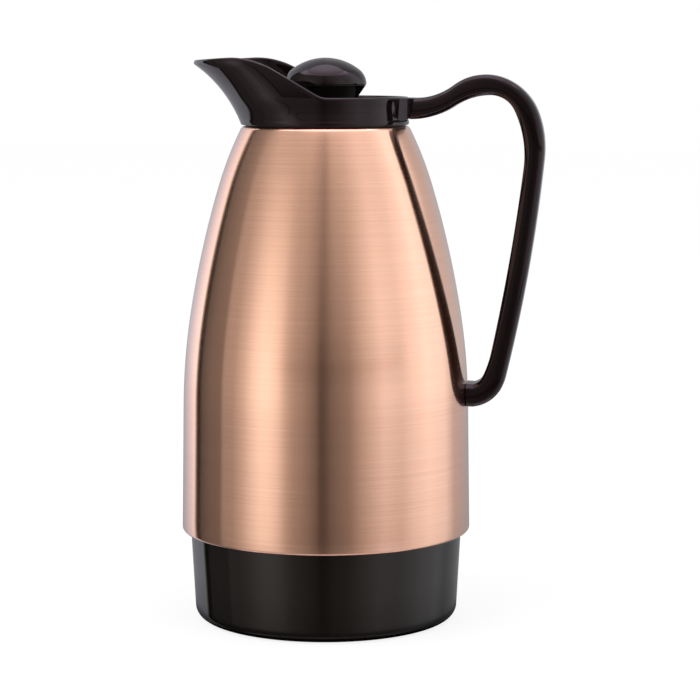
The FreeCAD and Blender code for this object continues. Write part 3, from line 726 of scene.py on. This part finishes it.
@dataclass
class BaseCup:
    """The black cup under the shell, in millimetres."""

    radius: float = 66.0
    flare: float = 2.0
    corner: float = 6.0
    wall: float = 2.5
    floor: float = 3.2
    rest_width: float = 6.0
    groove_width: float = 5.0
    groove_depth: float = 1.2
    shell_foot: float = 43.3
    spigot: float = 10.7
    bead: float = 0.5
    boss: float = 33.0
    boss_wall: float = 3.0
    boss_height: float = 16.8

    def outline(self) -> list[Vector]:
        """Returns the cup's outline, from the middle of its underside."""
        low = self.radius - self.flare
        rest = low - self.corner
        rest_inner = rest - self.rest_width
        groove_inner = rest_inner - self.groove_width
        bead_level = self.shell_foot + self.spigot / 2
        top = self.shell_foot + self.spigot
        boss_top = self.floor + self.boss_height
        boss_bore = self.boss - self.boss_wall
        edge = 0.4
        outer = Line((rest, 0.0), heading=(1.0, 0.0)).arc((low, self.corner), steps=12).points()
        inner = Line((low - self.wall, self.floor + self.corner), heading=(0.0, -1.0))
        inner.arc((rest - self.wall, self.floor), steps=12)
        beads = eased((
            (low, self.corner, 0.0), (self.radius, self.shell_foot, 0.0), (self.radius, bead_level, 0.0),
            (self.radius + self.bead, bead_level + self.bead, 0.2),
            (self.radius + self.bead, bead_level + 2 * self.bead, 0.2),
            (self.radius, bead_level + 3 * self.bead, 0.0), (self.radius, top, edge),
            (self.radius - self.wall, top, edge), (self.radius - self.wall, self.shell_foot, 0.0),
            (low - self.wall, self.floor + self.corner, 0.0),
        ), steps=4)
        boss = eased((
            (rest - self.wall, self.floor, 0.0), (self.boss, self.floor, edge), (self.boss, boss_top, edge),
            (boss_bore, boss_top, edge), (boss_bore, self.floor, edge), (0.0, self.floor, 0.0),
        ), steps=4)
        under = eased((
            (0.0, 0.0, 0.0), (groove_inner, 0.0, edge), (groove_inner, self.groove_depth, edge),
            (rest_inner, self.groove_depth, edge), (rest_inner, 0.0, edge), (rest, 0.0, 0.0),
        ), steps=4)
        return under + outer[1:] + beads[1:] + inner.points()[1:] + boss[1:]

    def build(self, finishes: Finishes) -> None:
        """Builds the cup."""
        piece = Bench.turned("cup", self.outline())
        place_piece(piece, Body.CARAFE, Slot.BLACK, finishes, "base_cup")


@dataclass
class Collar:
    """The moulded collar with its spout, well, threaded bore and handle stub, in millimetres."""

    foot: float = 239.5
    radius: float = 40.0
    rim: float = 13.4
    wall: float = 3.0
    waist: float = 0.6
    waist_steps: tuple[Point, ...] = (
        (0.0, 0.4), (0.6, -0.05), (1.44, -0.15), (2.72, 0.5), (6.4, 1.0), (13.44, 0.0), (40.0, 0.0))
    well_floor: float = 5.5
    floor_round: float = 1.5
    reach: float = 63.2
    root: float = 0.5
    curve: float = 60.0
    lip_height: float = 28.8
    tip_height: float = 30.7
    crest_height: float = 31.9
    crest_reach: float = 42.0
    shoulder_reach: float = 19.0
    shoulder_drop: float = 5.6
    heel: Triple = (1.2, 4.9, 1.4)
    front_bends: tuple[Point, ...] = ((46.0, 40.0),)
    front_start: float = 13.0
    front_wall: float = 2.6
    foot_levels: tuple[float, ...] = (
        0.0, 0.12, 0.3, 0.6, 0.9, 1.2, 1.5, 1.8, 2.1, 2.4, 2.72, 3.2, 3.9, 4.8, 5.6, 6.4)
    foot_insets: Point = (0.1, 0.03)
    outer_rings: int = 18
    inner_rings: int = 14
    round_rings: int = 5
    lip_outer: float = 1.9
    lip_inner: float = 1.0
    bore: float = 30.0
    seat: float = 22.5
    seat_level: float = -9.5
    spigot_foot: float = -12.5
    spigot: float = 33.7
    stub_reach: float = 3.1
    stub_root: Point = (35.6, 17.0)
    stub_half: float = 8.5
    stub_height: float = 10.0
    stub_drop: float = 0.5
    stub_lean: float = 2.1
    stub_edge: float = 0.35
    stub_heading: Point = (0.62, 0.78)
    stub_sink: float = 1.0
    thread_start: float = 4.0
    thread_lead: float = 12.0
    thread_rise: float = 6.6
    thread_starts: int = 3
    thread_profile: tuple[Point, ...] = ((0.3, -0.9), (-1.5, -0.5), (-1.5, 0.5), (0.3, 0.9))
    thread_fade: float = 12.0
    thread_least: float = 0.05
    thread_steps: int = 40
    around: tuple[int, int, int] = (100, 24, 26)

    def front(self, height: float) -> float:
        """Returns how far the spout's front reaches at a height above the collar's foot.

        Args:
            height: The height.
        """
        root = self.radius + self.root
        run, rise = self.reach - root, self.lip_height
        chord = math.hypot(run, rise)
        offset = math.sqrt(self.curve ** 2 - (chord / 2) ** 2)
        centre_reach = root + run / 2 + offset * rise / chord
        centre_height = rise / 2 - offset * run / chord
        height = min(height, self.lip_height)
        return centre_reach - math.sqrt(self.curve ** 2 - (height - centre_height) ** 2)

    def drawn_in(self, height: float) -> float:
        """Returns how far the waist draws the round side in at a height.

        Args:
            height: The height.
        """
        for (low, first), (high, last) in zip(self.waist_steps, self.waist_steps[1:]):
            if height <= high:
                share = (height - low) / (high - low)
                return self.waist * (first + (last - first) * (1 - math.cos(math.pi * share)) / 2)
        return 0.0

    def section(self, height: float, inset: float = 0.0) -> list[Vector]:
        """Draws the plan at a height: a round back, straight flanks and a broad front of arcs.

        Args:
            height: The height above the collar's foot.
            inset: How far inside the outer face, as a share of the wall, and past 1 in millimetres more.

        Returns:
            The plan's points, from the -Y side round the back.
        """
        share, more = min(inset, 1.0), max(inset - 1.0, 0.0)
        side = self.radius - self.drawn_in(height)
        inward, forward = self.wall * share + more, self.front_wall * share + more
        grown = min(height / self.front_start, 1.0)
        grown = grown * grown * (3 - 2 * grown)
        backs, flanks, fronts = self.around
        arcs = [(side + (radius - side) * grown, math.radians(turn)) for radius, turn in self.front_bends]
        place, turned, half = Vector((-self.front(height), 0.0)), 0.0, []
        for radius, turn in arcs + [(None, math.pi / 2)]:
            radius = radius or (side - place.y) / (1 - math.sin(turned))
            half = half[:-1]
            centre = place + radius * way(-turned)
            for share in shares(fronts):
                angle = turned + (turn - turned) * share
                depth = forward + (inward - forward) * angle / (math.pi / 2)
                half.append(centre + way(math.pi - angle) * (radius - depth))
            place, turned = centre + radius * way(math.pi - turn), turn
        top = Vector((0.0, side - inward))
        half += [half[-1].lerp(top, share) for share in shares(flanks)[1:-1]]
        back = [way(math.pi * (share - 0.5)) * (side - inward) for share in shares(backs)]
        return back + half[::-1] + [Vector((point.x, -point.y)) for point in half[1:]]

    def crest(self) -> list[Vector]:
        """Returns the upper edge seen from the side, as reach and height above the foot."""
        heel_reach, heel_length, heel_rise = self.heel
        line = Line((-self.reach, self.tip_height))
        line.run((-self.crest_reach, self.crest_height))
        line.arc((-self.shoulder_reach, self.crest_height - self.shoulder_drop), steps=14)
        line.run((heel_reach, self.rim + heel_rise))
        line.arc((heel_reach + heel_length, self.rim))
        return line.run((self.radius * 2, self.rim)).points()

    def heights(self) -> list[float]:
        """Returns each column's height, where the hull meets the crest seen from the side."""
        crest = self.crest()
        parts, spare = 64, 2
        levels = [self.crest_height * step / parts for step in range(parts + spare + 1)]
        plans = [self.section(level) for level in levels]
        columns = []
        for index in range(len(plans[0])):
            gaps = [met(crest, plan[index].x) - level for level, plan in zip(levels, plans)]
            found = levels[-1]
            for low, high, lower, upper in zip(levels, levels[1:], gaps, gaps[1:]):
                if lower >= 0 > upper:
                    found = low + (high - low) * lower / (lower - upper)
                    break
            columns.append(found)
        return columns

    def rings(self) -> list[list[Vector]]:
        """Returns the collar's sections: up its outside, over its lip, down its inside and bore."""
        heights = self.heights()
        count = len(heights)
        rings = []
        for height, inset in zip_longest(self.foot_levels, self.foot_insets, fillvalue=0.0):
            rings.append(self.lift([height] * count, inset))
        start = self.foot_levels[-1]
        for share in shares(self.outer_rings)[1:]:
            rings.append(self.lift([start + (top - self.lip_outer - start) * share for top in heights]))
        below = -2.5
        lip = eased((
            (0.0, below, 0.0), (0.0, 0.0, self.lip_outer), (self.wall, 0.0, self.lip_inner),
            (self.wall, below, 0.0),
        ), steps=7)[2:-1]
        for point in lip:
            rings.append(self.lift([top + point.y for top in heights], point.x / self.wall))
        end = self.well_floor + self.floor_round
        tops = [top - self.lip_inner for top in heights]
        for share in shares(self.inner_rings)[1:]:
            rings.append(self.lift([top + (end - top) * share for top in tops], 1.0))
        for share in shares(self.round_rings)[1:]:
            turn = math.pi / 2 * share
            level = end - self.floor_round * math.sin(turn)
            rings.append(self.lift([level] * count, 1.0 + self.floor_round * (1 - math.cos(turn))))
        directions = [unit(point) for point in self.section(0.0)]
        edge = 0.5
        for point in eased((
            (self.bore + 2, self.well_floor, 0.0), (self.bore, self.well_floor, edge),
            (self.bore, self.seat_level, edge), (self.seat, self.seat_level, edge),
            (self.seat, self.spigot_foot, edge), (self.spigot, self.spigot_foot, edge),
            (self.spigot, 0.0, 0.0),
        ), steps=4):
            rings.append([Vector((*(aim * point.x), self.foot + point.y)) for aim in directions])
        return rings

    def lift(self, heights: Sequence[float], inset: float = 0.0) -> list[Vector]:
        """Places one ring on the hull.

        Args:
            heights: Each column's height above the foot.
            inset: How deep in the wall the ring lies, as in section.

        Returns:
            The ring's points.
        """
        plans = {height: self.section(height, inset) for height in heights}
        return [Vector((*plans[height][index], self.foot + height)) for index, height in enumerate(heights)]

    def stub(self) -> Piece:
        """Models the stub that the handle's upper end stands on.

        Returns:
            The stub, which leans like the handle's end.
        """
        root_x, root_y = self.stub_root
        face = self.radius + self.stub_reach
        top = self.foot + self.rim - self.stub_drop
        edge = self.stub_edge
        blend = Line((root_x, -root_y), self.stub_heading).arc((face, -self.stub_half), steps=12).points()
        rings = []
        levels = ((0.0, edge), (edge, 0.0), (self.stub_height - edge, 0.0), (self.stub_height, edge))
        for height, inset in levels:
            lean = self.stub_lean * (1 - height / self.stub_height) + inset
            side = [Vector((min(point.x, face - lean), point.y + inset, top - self.stub_height + height))
                    for point in blend]
            mirror = [Vector((point.x, -point.y, point.z)) for point in side[::-1]]
            inner = [Vector((self.radius - self.wall - self.stub_sink, half, side[0].z))
                     for half in (root_y - self.wall, -root_y + self.wall)]
            rings.append(side + mirror + inner)
        return Bench.lofted("stub", rings, joined=False, smooth=30.0)

    def thread(self) -> list[Piece]:
        """Models the ridges of the stopper's thread in the bore.

        Returns:
            The ridges.
        """
        ridges = []
        turn = 2 * math.pi * self.thread_rise / self.thread_lead
        foot = self.foot + self.seat_level + self.thread_start + self.thread_lead / self.thread_starts / 2
        for start in range(self.thread_starts):
            rings = []
            for share in shares(self.thread_steps):
                fade = min(1.0, share * self.thread_fade, (1 - share) * self.thread_fade)
                fade = max(fade, self.thread_least)
                angle = 2 * math.pi * start / self.thread_starts + turn * share
                level = foot + self.thread_rise * share
                depths = [across if across > 0 else across * fade for across, _ in self.thread_profile]
                rings.append([
                    Vector((*(way(angle) * (self.bore + depth)), level + up))
                    for depth, (_, up) in zip(depths, self.thread_profile)])
            ridges.append(Bench.lofted(f"ridge_{start}", rings, joined=False, smooth=30.0))
        return ridges

    def build(self, finishes: Finishes) -> None:
        """Builds the collar.

        Args:
            finishes: The carafe's finishes.
        """
        piece = Bench.lofted("pouring_collar", self.rings(), joined=True, smooth=38.0)
        stub = self.stub()
        Bench.apply(piece, "BOOLEAN", object=stub, operation="UNION", solver="EXACT")
        bpy.data.objects.remove(stub)
        Bench.join(piece, self.thread())
        place_piece(piece, Body.CARAFE, Slot.BROWN, finishes, "collar")


@dataclass
class Handle:
    """The side handle, in millimetres."""

    jacket: Jacket
    width: float = 17.0
    round: float = 3.4
    chamfer: float = 2.0
    face: Point = (43.1, 252.4)
    face_foot: Point = (41.0, 242.4)
    lead_in: float = 0.5
    low: float = 104.9
    rise: float = 148.0
    reach: float = 35.0
    outer_swell: Point = (0.699, 1.038)
    outer_bends: tuple[Point, ...] = (
        (0.4206, 1.0626), (0.9203, 0.9467), (0.9972, 0.802), (0.4909, 0.0895), (-0.0629, 0.0))
    root: Point = (-0.1429, 0.0831)
    crook: Point = (-0.0372, 0.075)
    inner_bends: tuple[Point, ...] = (
        (0.1834, 0.0971), (0.3008, 0.1772), (0.7222, 0.772), (0.5936, 0.9575), (0.2549, 1.0061))
    inner_swell: Point = (0.7075, 0.9699)
    side_edge: float = 1.4
    inner_edge: float = 0.8
    end_edge: float = 0.3
    end_gap: float = 0.05
    shell_clearance: float = 0.4
    stations: tuple[int, ...] = (18, 20, 22, 14, 30, 20)

    def at(self, parts: Point) -> Point:
        """Returns a bend's place from its shares of the reach past the shell's foot and of the rise."""
        return self.jacket.foot_radius + self.reach * parts[0], self.low + self.rise * parts[1]

    def swell(self, parts: Point) -> Point:
        """Returns a swell's place from its shares of the way to the shell's foot and of the rise."""
        length = self.jacket.foot_radius - self.face[0]
        return self.face[0] + length * parts[0], self.low + self.rise * parts[1]

    def sides(self) -> tuple[list[list[Vector]], list[list[Vector]]]:
        """Returns the outer and the inner side as matching stretches, from the collar to the shell."""
        steps = 60
        outer = Line(self.face).run((self.face[0] + self.lead_in, self.face[1]))
        outer.arc(self.swell(self.outer_swell), steps)
        for parts in self.outer_bends:
            outer.arc(self.at(parts), steps)
        inner = Line(self.at(self.root)).run(self.at(self.crook))
        for parts in self.inner_bends:
            inner.arc(self.at(parts), steps)
        inner.arc(self.swell(self.inner_swell), steps)
        inner.arc(self.face_foot, steps)
        lead, swell, *others = outer.spans
        *back, crook, root = [span[::-1] for span in inner.spans[:0:-1]]
        return [lead + swell[1:], *others], [*back, crook + root[1:]]

    @staticmethod
    def spread(line: Sequence[Vector], count: int) -> list[Vector]:
        """Returns points at even distances along a line.

        Args:
            line: The line's points.
            count: How many parts it's cut into.
        """
        lengths = [0.0]
        for first, last in zip(line, line[1:]):
            lengths.append(lengths[-1] + (last - first).length)
        points = []
        index = 0
        for whole in shares(count):
            length = lengths[-1] * whole
            while index < len(line) - 2 and lengths[index + 1] < length:
                index += 1
            share = (length - lengths[index]) / (lengths[index + 1] - lengths[index])
            points.append(line[index].lerp(line[index + 1], min(share, 1.0)))
        return points

    def ring(self, outer: Vector, inner: Vector, inset: float = 0.0) -> list[Vector]:
        """Draws the handle's section between its two sides.

        Args:
            outer: The outer side's point, as reach and height.
            inner: The inner side's point.
            inset: How much smaller the section is all round.

        Returns:
            The section's points.
        """
        aim = unit(inner - outer)
        depth = (inner - outer).length
        half = self.width / 2
        corners = (
            (inset, -half + inset, self.round), (inset, half - inset, self.round),
            (depth - self.chamfer, half - inset, self.side_edge),
            (depth - inset, half - self.chamfer, self.inner_edge),
            (depth - inset, -half + self.chamfer, self.inner_edge),
            (depth - self.chamfer, -half + inset, self.side_edge),
        )
        points = []
        for point in eased(corners, steps=6, closed=True):
            flat = outer + aim * point.x
            points.append(Vector((flat.x, point.y, flat.y)))
        return points

    def build(self, finishes: Finishes) -> None:
        """Builds the handle.

        Args:
            finishes: The carafe's finishes.
        """
        stations = []
        for outer, inner, count in zip(*self.sides(), self.stations):
            pairs = list(zip(self.spread(outer, count), self.spread(inner, count)))
            stations += pairs if not stations else pairs[1:]
        edge = self.end_edge
        nearest = self.jacket.foot_radius + self.shell_clearance
        clear = [pair for pair in stations
                 if min(pair[0].x, pair[1].x) > nearest or pair[0].y > self.low + self.rise / 2]
        rings = [self.ring(*clear[0], edge)]
        nudged = [point + Vector((edge, 0.0)) for point in clear[0]]
        rings.append(self.ring(*nudged))
        rings += [self.ring(*pair) for pair in clear[1:]]
        for gap, inset in ((edge, 0.0), (self.end_gap, edge)):
            last = []
            for point in self.ring(*stations[-1], inset):
                surface = self.jacket.radius_at(point.z) + gap
                last.append(Vector((math.sqrt(surface ** 2 - point.y ** 2), point.y, point.z)))
            rings.append(last)
        piece = Bench.lofted("side_handle", rings, joined=False, smooth=32.0)
        place_piece(piece, Body.CARAFE, Slot.BROWN, finishes, "handle")


@dataclass
class Knob:
    """The stopper's lid disc with its stem, and the domed cap, in millimetres."""

    foot: float = 245.5
    disc: float = 33.5
    thickness: float = 2.3
    stem: float = 12.0
    equator: float = 258.5
    radius: float = 19.6
    dome: float = 12.9
    edge: float = 0.4
    turn: Point = (0.83, 0.549)
    socket: float = 14.0
    socket_depth: float = 4.4
    well: float = 4.5
    hole: float = 2.0
    screw_seat: float = 1.2
    wall: float = 2.5
    under_share: float = 0.6
    gap: float = 0.1

    def build(self, finishes: Finishes) -> None:
        """Builds the disc and the cap.

        Args:
            finishes: The carafe's finishes.
        """
        soft = 0.5
        top = self.foot + self.thickness
        socket_foot = self.equator - self.socket_depth
        base = eased((
            (self.hole, self.foot, 0.2), (self.disc, self.foot, soft), (self.disc, top, soft),
            (self.stem, top, soft), (self.radius - self.gap, self.equator, 0.15),
            (self.socket, self.equator, 0.2), (self.socket, socket_foot, soft),
            (self.well, socket_foot, 0.2), (self.well, top + self.screw_seat, 0.2),
            (self.hole, top + self.screw_seat, 0.2),
        ), closed=True)
        place_piece(Bench.turned("lid_disc", base), Body.STOPPER, Slot.BLACK, finishes, "knob_base")
        rise = self.dome - self.edge
        spigot = self.socket - self.gap
        inside = spigot - self.wall
        roof = self.equator + self.edge + rise * self.turn[1] - self.wall
        skin = Line((self.radius, self.equator + self.edge), heading=(0.0, 1.0))
        skin.arc((self.radius * self.turn[0], self.equator + self.edge + rise * self.turn[1]), steps=16)
        skin.arc((0.0, self.equator + self.dome), steps=24)
        under = eased((
            (0.0, roof + self.wall, 0.0),
            (inside * self.under_share, roof + self.wall * self.under_share, 2.0), (inside, roof, 1.0),
            (inside, socket_foot, 0.3), (spigot, socket_foot, 0.3), (spigot, self.equator, 0.1),
            (self.radius - self.edge, self.equator, 0.0),
        ), steps=4)
        cap = Bench.turned("domed_cap", under + skin.points())
        place_piece(cap, Body.STOPPER, Slot.BROWN, finishes, "knob_cap")


@dataclass
class Tent:
    """A round wall, a ground sheet and a roof that light only reflections, in metres and degrees."""

    heading: float = 8.0
    radius: float = 1.5
    height: float = 2.8
    lift: float = 0.5 * MM
    sides: int = 128
    peak: float = 1.6
    horizon: tuple[Point, ...] = (
        (-180, 0.40), (-160, 0.60), (-148, 0.80), (-134, 1.20), (-128, 1.35), (-124.5, 0.03),
        (-119, 0.03), (-116.5, 0.12), (-104, 0.20), (-90.8, 0.23), (-88.6, 0.43), (-78, 0.48),
        (-68, 0.76), (-60, 1.12), (-52, 1.38), (-45, 1.35), (-38, 1.16), (-31, 0.73),
        (-25, 0.51), (-18, 0.40), (-7, 0.19), (-5, 0.09), (-1, 0.11), (4, 0.20), (18, 0.34),
        (32, 0.76), (46, 1.12), (62, 1.01), (88, 1.34), (108, 1.20), (122, 0.70), (180, 0.35),
    )
    upper: tuple[Point, ...] = (
        (-180, 0.60), (-150, 0.75), (-125.5, 1.10), (-123.5, 0.03), (-119.5, 0.03), (-116, 0.24),
        (-104, 0.27), (-92, 0.37), (-84, 0.51), (-68, 0.61), (-20, 0.57), (-12, 0.49),
        (-1, 0.36), (8, 0.57), (24, 0.70), (43, 0.93), (62, 0.95), (76, 1.08), (88, 1.35),
        (106, 1.30), (120, 0.62), (134, 0.45), (150, 0.55), (180, 0.60),
    )
    blend_levels: tuple[Point, ...] = (
        (0, 0.0), (0.20, 0.0), (0.50, 0.28), (1, 0.84), (1.35, 1.0), (2.8, 1.0))
    strip_levels: tuple[Point, ...] = (
        (0, 1.0), (0.178, 1.0), (0.192, 0.22), (0.230, 0.22), (0.244, 1.0), (2.8, 1.0))
    strip_reach: tuple[Point, ...] = (
        (-180, 0.0), (-44, 0.0), (-30, 1.0), (58, 1.0), (72, 0.0), (180, 0.0))
    roof_level: float = 2.8
    roof_rim: float = 0.6
    roof_start: tuple[Point, ...] = (
        (-180, 2.6), (-135, 2.6), (-118, 1.6), (-84, 1.75), (-56, 2.25), (40, 2.25), (70, 1.95), (110, 1.8),
        (128, 2.6), (180, 2.6))
    roof_blend: float = 0.45
    roof_tint: Colour = (1.0, 0.93, 1.10)
    dim_tint: Colour = (1.0, 0.97, 0.94)
    bright_tint: Colour = (1.0, 1.09, 1.14)
    cool_left: Colour = (0.90, 0.87, 0.96)
    left_edge: Point = (-137.0, -125.0)
    cool_right: Colour = (1.00, 1.01, 1.06)
    right_edge: Point = (20.0, 48.0)
    # Mirror levels by distance from the axis: darker close to the carafe and darkest under its foot, a
    # painted shadow seen in reflections.
    sheet_levels: tuple[Point, ...] = (
        (0.0, 0.1), (0.068, 0.12), (0.078, 0.50), (0.13, 0.66), (0.36, 0.74), (0.7, 0.84), (1.5, 0.95))

    @staticmethod
    def round(stops: Sequence[Point], peak: float = 1.0) -> list[Point]:
        """Returns stops by degrees as stops by share of the whole turn."""
        return [(degrees / 360.0 + 0.5, level / peak) for degrees, level in stops]

    @staticmethod
    def along(stops: Sequence[Point], length: float) -> list[Point]:
        """Returns stops by metres as stops by share of a length."""
        return [(place / length, level) for place, level in stops]

    def wall_light(self) -> Material:
        """Makes the wall's light, which follows the horizon round and the levels up.

        Returns:
            The material.
        """
        tree = Tree.of_material("tent_wall")
        split = tree.add("SeparateXYZ", Vector=tree.add("TexCoord").outputs["Object"])
        back = tree.maths("MULTIPLY", split.outputs["Y"], -1.0)
        turn = tree.maths("ARCTAN2", split.outputs["X"], back)
        turn = tree.maths("SUBTRACT", turn, math.radians(self.heading))
        share = tree.maths("FRACT", tree.maths("ADD", tree.maths("DIVIDE", turn, 2 * math.pi), 0.5))
        height = tree.maths("DIVIDE", split.outputs["Z"], self.height, clamp=True)
        low, high = (tree.ramp(share, self.round(stops, self.peak)) for stops in (self.horizon, self.upper))
        level = tree.blend(tree.ramp(height, self.along(self.blend_levels, self.height)), low, high)
        strip = tree.ramp(height, self.along(self.strip_levels, self.height))
        strip = tree.span(tree.ramp(share, self.round(self.strip_reach)), 1.0, strip)
        level = tree.maths("MULTIPLY", level, strip)
        tint = self.cool_left
        for edge, colour in ((self.left_edge, WHITE), (self.right_edge, self.cool_right)):
            first, last = (degrees / 360.0 + 0.5 for degrees in edge)
            tint = tree.blend(tree.rise(share, first, last - first), tint, colour)
        shade = tree.blend(level, self.dim_tint, self.bright_tint)
        start = tree.ramp(share, self.round(self.roof_start, self.height))
        roof = tree.rise(height, start, self.roof_blend / self.height)
        return tree.finish(tree.add(
            "Emission",
            Color=tree.blend(roof, tree.blend(1.0, tint, shade, "MULTIPLY"), self.roof_tint),
            Strength=tree.span(roof, tree.maths("MULTIPLY", level, self.peak), self.roof_level),
        ))

    def sheet_mirror(self) -> Material:
        """Makes the ground sheet's mirror, darker close to the carafe as a painted shadow, darkest right
        under its foot.
        """
        tree = Tree.of_material("tent_sheet")
        share = tree.maths("DIVIDE", tree.radius(), self.radius, clamp=True)
        level = tree.ramp(share, self.along(self.sheet_levels, self.radius))
        return tree.finish(tree.add("BsdfGlossy", Color=level, Roughness=0.0))

    def roof_light(self) -> Material:
        """Makes the roof's light, brightest over the carafe."""
        tree = Tree.of_material("tent_roof")
        share = tree.maths("DIVIDE", tree.radius(), self.radius, clamp=True)
        level = tree.span(share, self.roof_level, self.roof_level * self.roof_rim)
        return tree.finish(tree.add("Emission", Color=self.roof_tint, Strength=level))

    @staticmethod
    def hang(name: str, material: Material) -> Piece:
        """Names and dresses the panel that was just added, and hides it from all but reflections.

        Args:
            name: The panel's name.
            material: Its material.

        Returns:
            The panel.
        """
        panel = bpy.context.object
        panel.name = name
        panel.data.materials.append(material)
        for ray in ("camera", "diffuse", "shadow", "transmission", "volume_scatter"):
            setattr(panel, "visible_" + ray, False)
        return panel

    def build(self) -> None:
        """Hangs the tent."""
        size = {"vertices": self.sides, "radius": self.radius}
        bpy.ops.mesh.primitive_cylinder_add(
            depth=self.height, end_fill_type="NOTHING",
            location=(0.0, 0.0, self.height / 2 + self.lift), **size)
        panels = [self.hang("tent_wall", self.wall_light())]
        for name, level, make in (
            ("tent_sheet", self.lift, self.sheet_mirror),
            ("tent_roof", self.height + self.lift, self.roof_light),
        ):
            bpy.ops.mesh.primitive_circle_add(fill_type="TRIFAN", location=(0.0, 0.0, level), **size)
            panels.append(self.hang(name, make()))
        for panel in panels:
            panel.select_set(True)
        bpy.ops.object.transform_apply(location=True)


@dataclass(frozen=True)
class Lamp:
    """A soft square lamp that reflections leave out, in metres and watts."""

    name: str
    place: Triple
    size: float
    power: float
    aim: Triple = (0.0, 0.0, 0.13)

    def build(self) -> None:
        """Hangs the lamp."""
        light = bpy.data.lights.new(self.name, "AREA")
        light.size = self.size
        light.energy = self.power
        lamp = bpy.data.objects.new(self.name, light)
        bpy.context.scene.collection.objects.link(lamp)
        lamp.location = self.place
        lamp.visible_glossy = False
        lamp.rotation_euler = (Vector(self.aim) - lamp.location).to_track_quat("-Z", "Y").to_euler()


@dataclass
class Studio:
    """A pale floor, the tent, soft lamps and the camera, in metres and radians, the lens in millimetres."""

    floor_half: float = 6.0
    floor_glow: float = 0.84
    floor_tone: Colour = (0.95, 0.95, 0.95)
    ambient: float = 1.0
    lamps: tuple[Lamp, ...] = (
        Lamp("key", (-1.0, -0.9, 1.7), 1.4, 16.0), Lamp("fill", (1.2, -0.6, 1.5), 1.6, 9.0))
    lens: float = 120.4
    sensor: float = 36.0
    eye: Triple = (0.1570, -1.1172, 0.27257)
    look_down: float = 0.1253
    look_aside: float = 0.0104

    def floor(self) -> None:
        """Makes the floor, white to the eye, which keeps part of the shadow that falls on it."""
        bpy.ops.mesh.primitive_plane_add(size=2 * self.floor_half)
        floor = bpy.context.object
        floor.name = "floor"
        tree = Tree.of_material("floor")
        paper = tree.add("BsdfDiffuse", Color=self.floor_tone)
        glow = tree.add("Emission", Color=WHITE, Strength=1.0)
        share = tree.maths("MULTIPLY", tree.seen(), self.floor_glow)
        mix = tree.add("MixShader")
        for value, socket in zip((share, paper.outputs[0], glow.outputs[0]), mix.inputs):
            tree.put(value, socket)
        floor.data.materials.append(tree.finish(mix))

    def world(self) -> None:
        """Makes the world: white to the eye and in reflections, and a plain soft light elsewhere."""
        tree = Tree(bpy.data.worlds.new("studio"))
        strength = tree.span(tree.seen(), self.ambient, 1.0)
        bpy.context.scene.world = tree.finish(tree.add("Background", Color=WHITE, Strength=strength))

    def camera(self, heading: float) -> None:
        """Sets the camera at the photograph's place, height and lens.

        Args:
            heading: The way that the camera looks from, about Z.
        """
        data = bpy.data.cameras.new("camera")
        data.lens = self.lens
        data.sensor_width = self.sensor
        camera = bpy.data.objects.new("camera", data)
        bpy.context.scene.collection.objects.link(camera)
        camera.location = self.eye
        turn = math.radians(heading) - self.look_aside
        camera.rotation_euler = (math.pi / 2 - self.look_down, 0.0, turn)
        bpy.context.scene.camera = camera

    def build(self) -> None:
        """Sets the whole studio up."""
        self.floor()
        tent = Tent()
        tent.build()
        self.world()
        for lamp in self.lamps:
            lamp.build()
        self.camera(tent.heading)
        bpy.context.scene.view_settings.view_transform = "Standard"


def main() -> None:
    """Builds the carafe and its studio."""
    logging.basicConfig(level=logging.INFO, format="%(message)s")
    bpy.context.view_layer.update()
    bpy.ops.object.select_all(action="DESELECT")
    finishes = Finishes()
    finishes.dress_nodes()
    jacket = Jacket()
    for part in (jacket, BaseCup(), Collar(), Handle(jacket), Knob()):
        part.build(finishes)
    Studio().build()


if __name__ == "__main__":
    main()
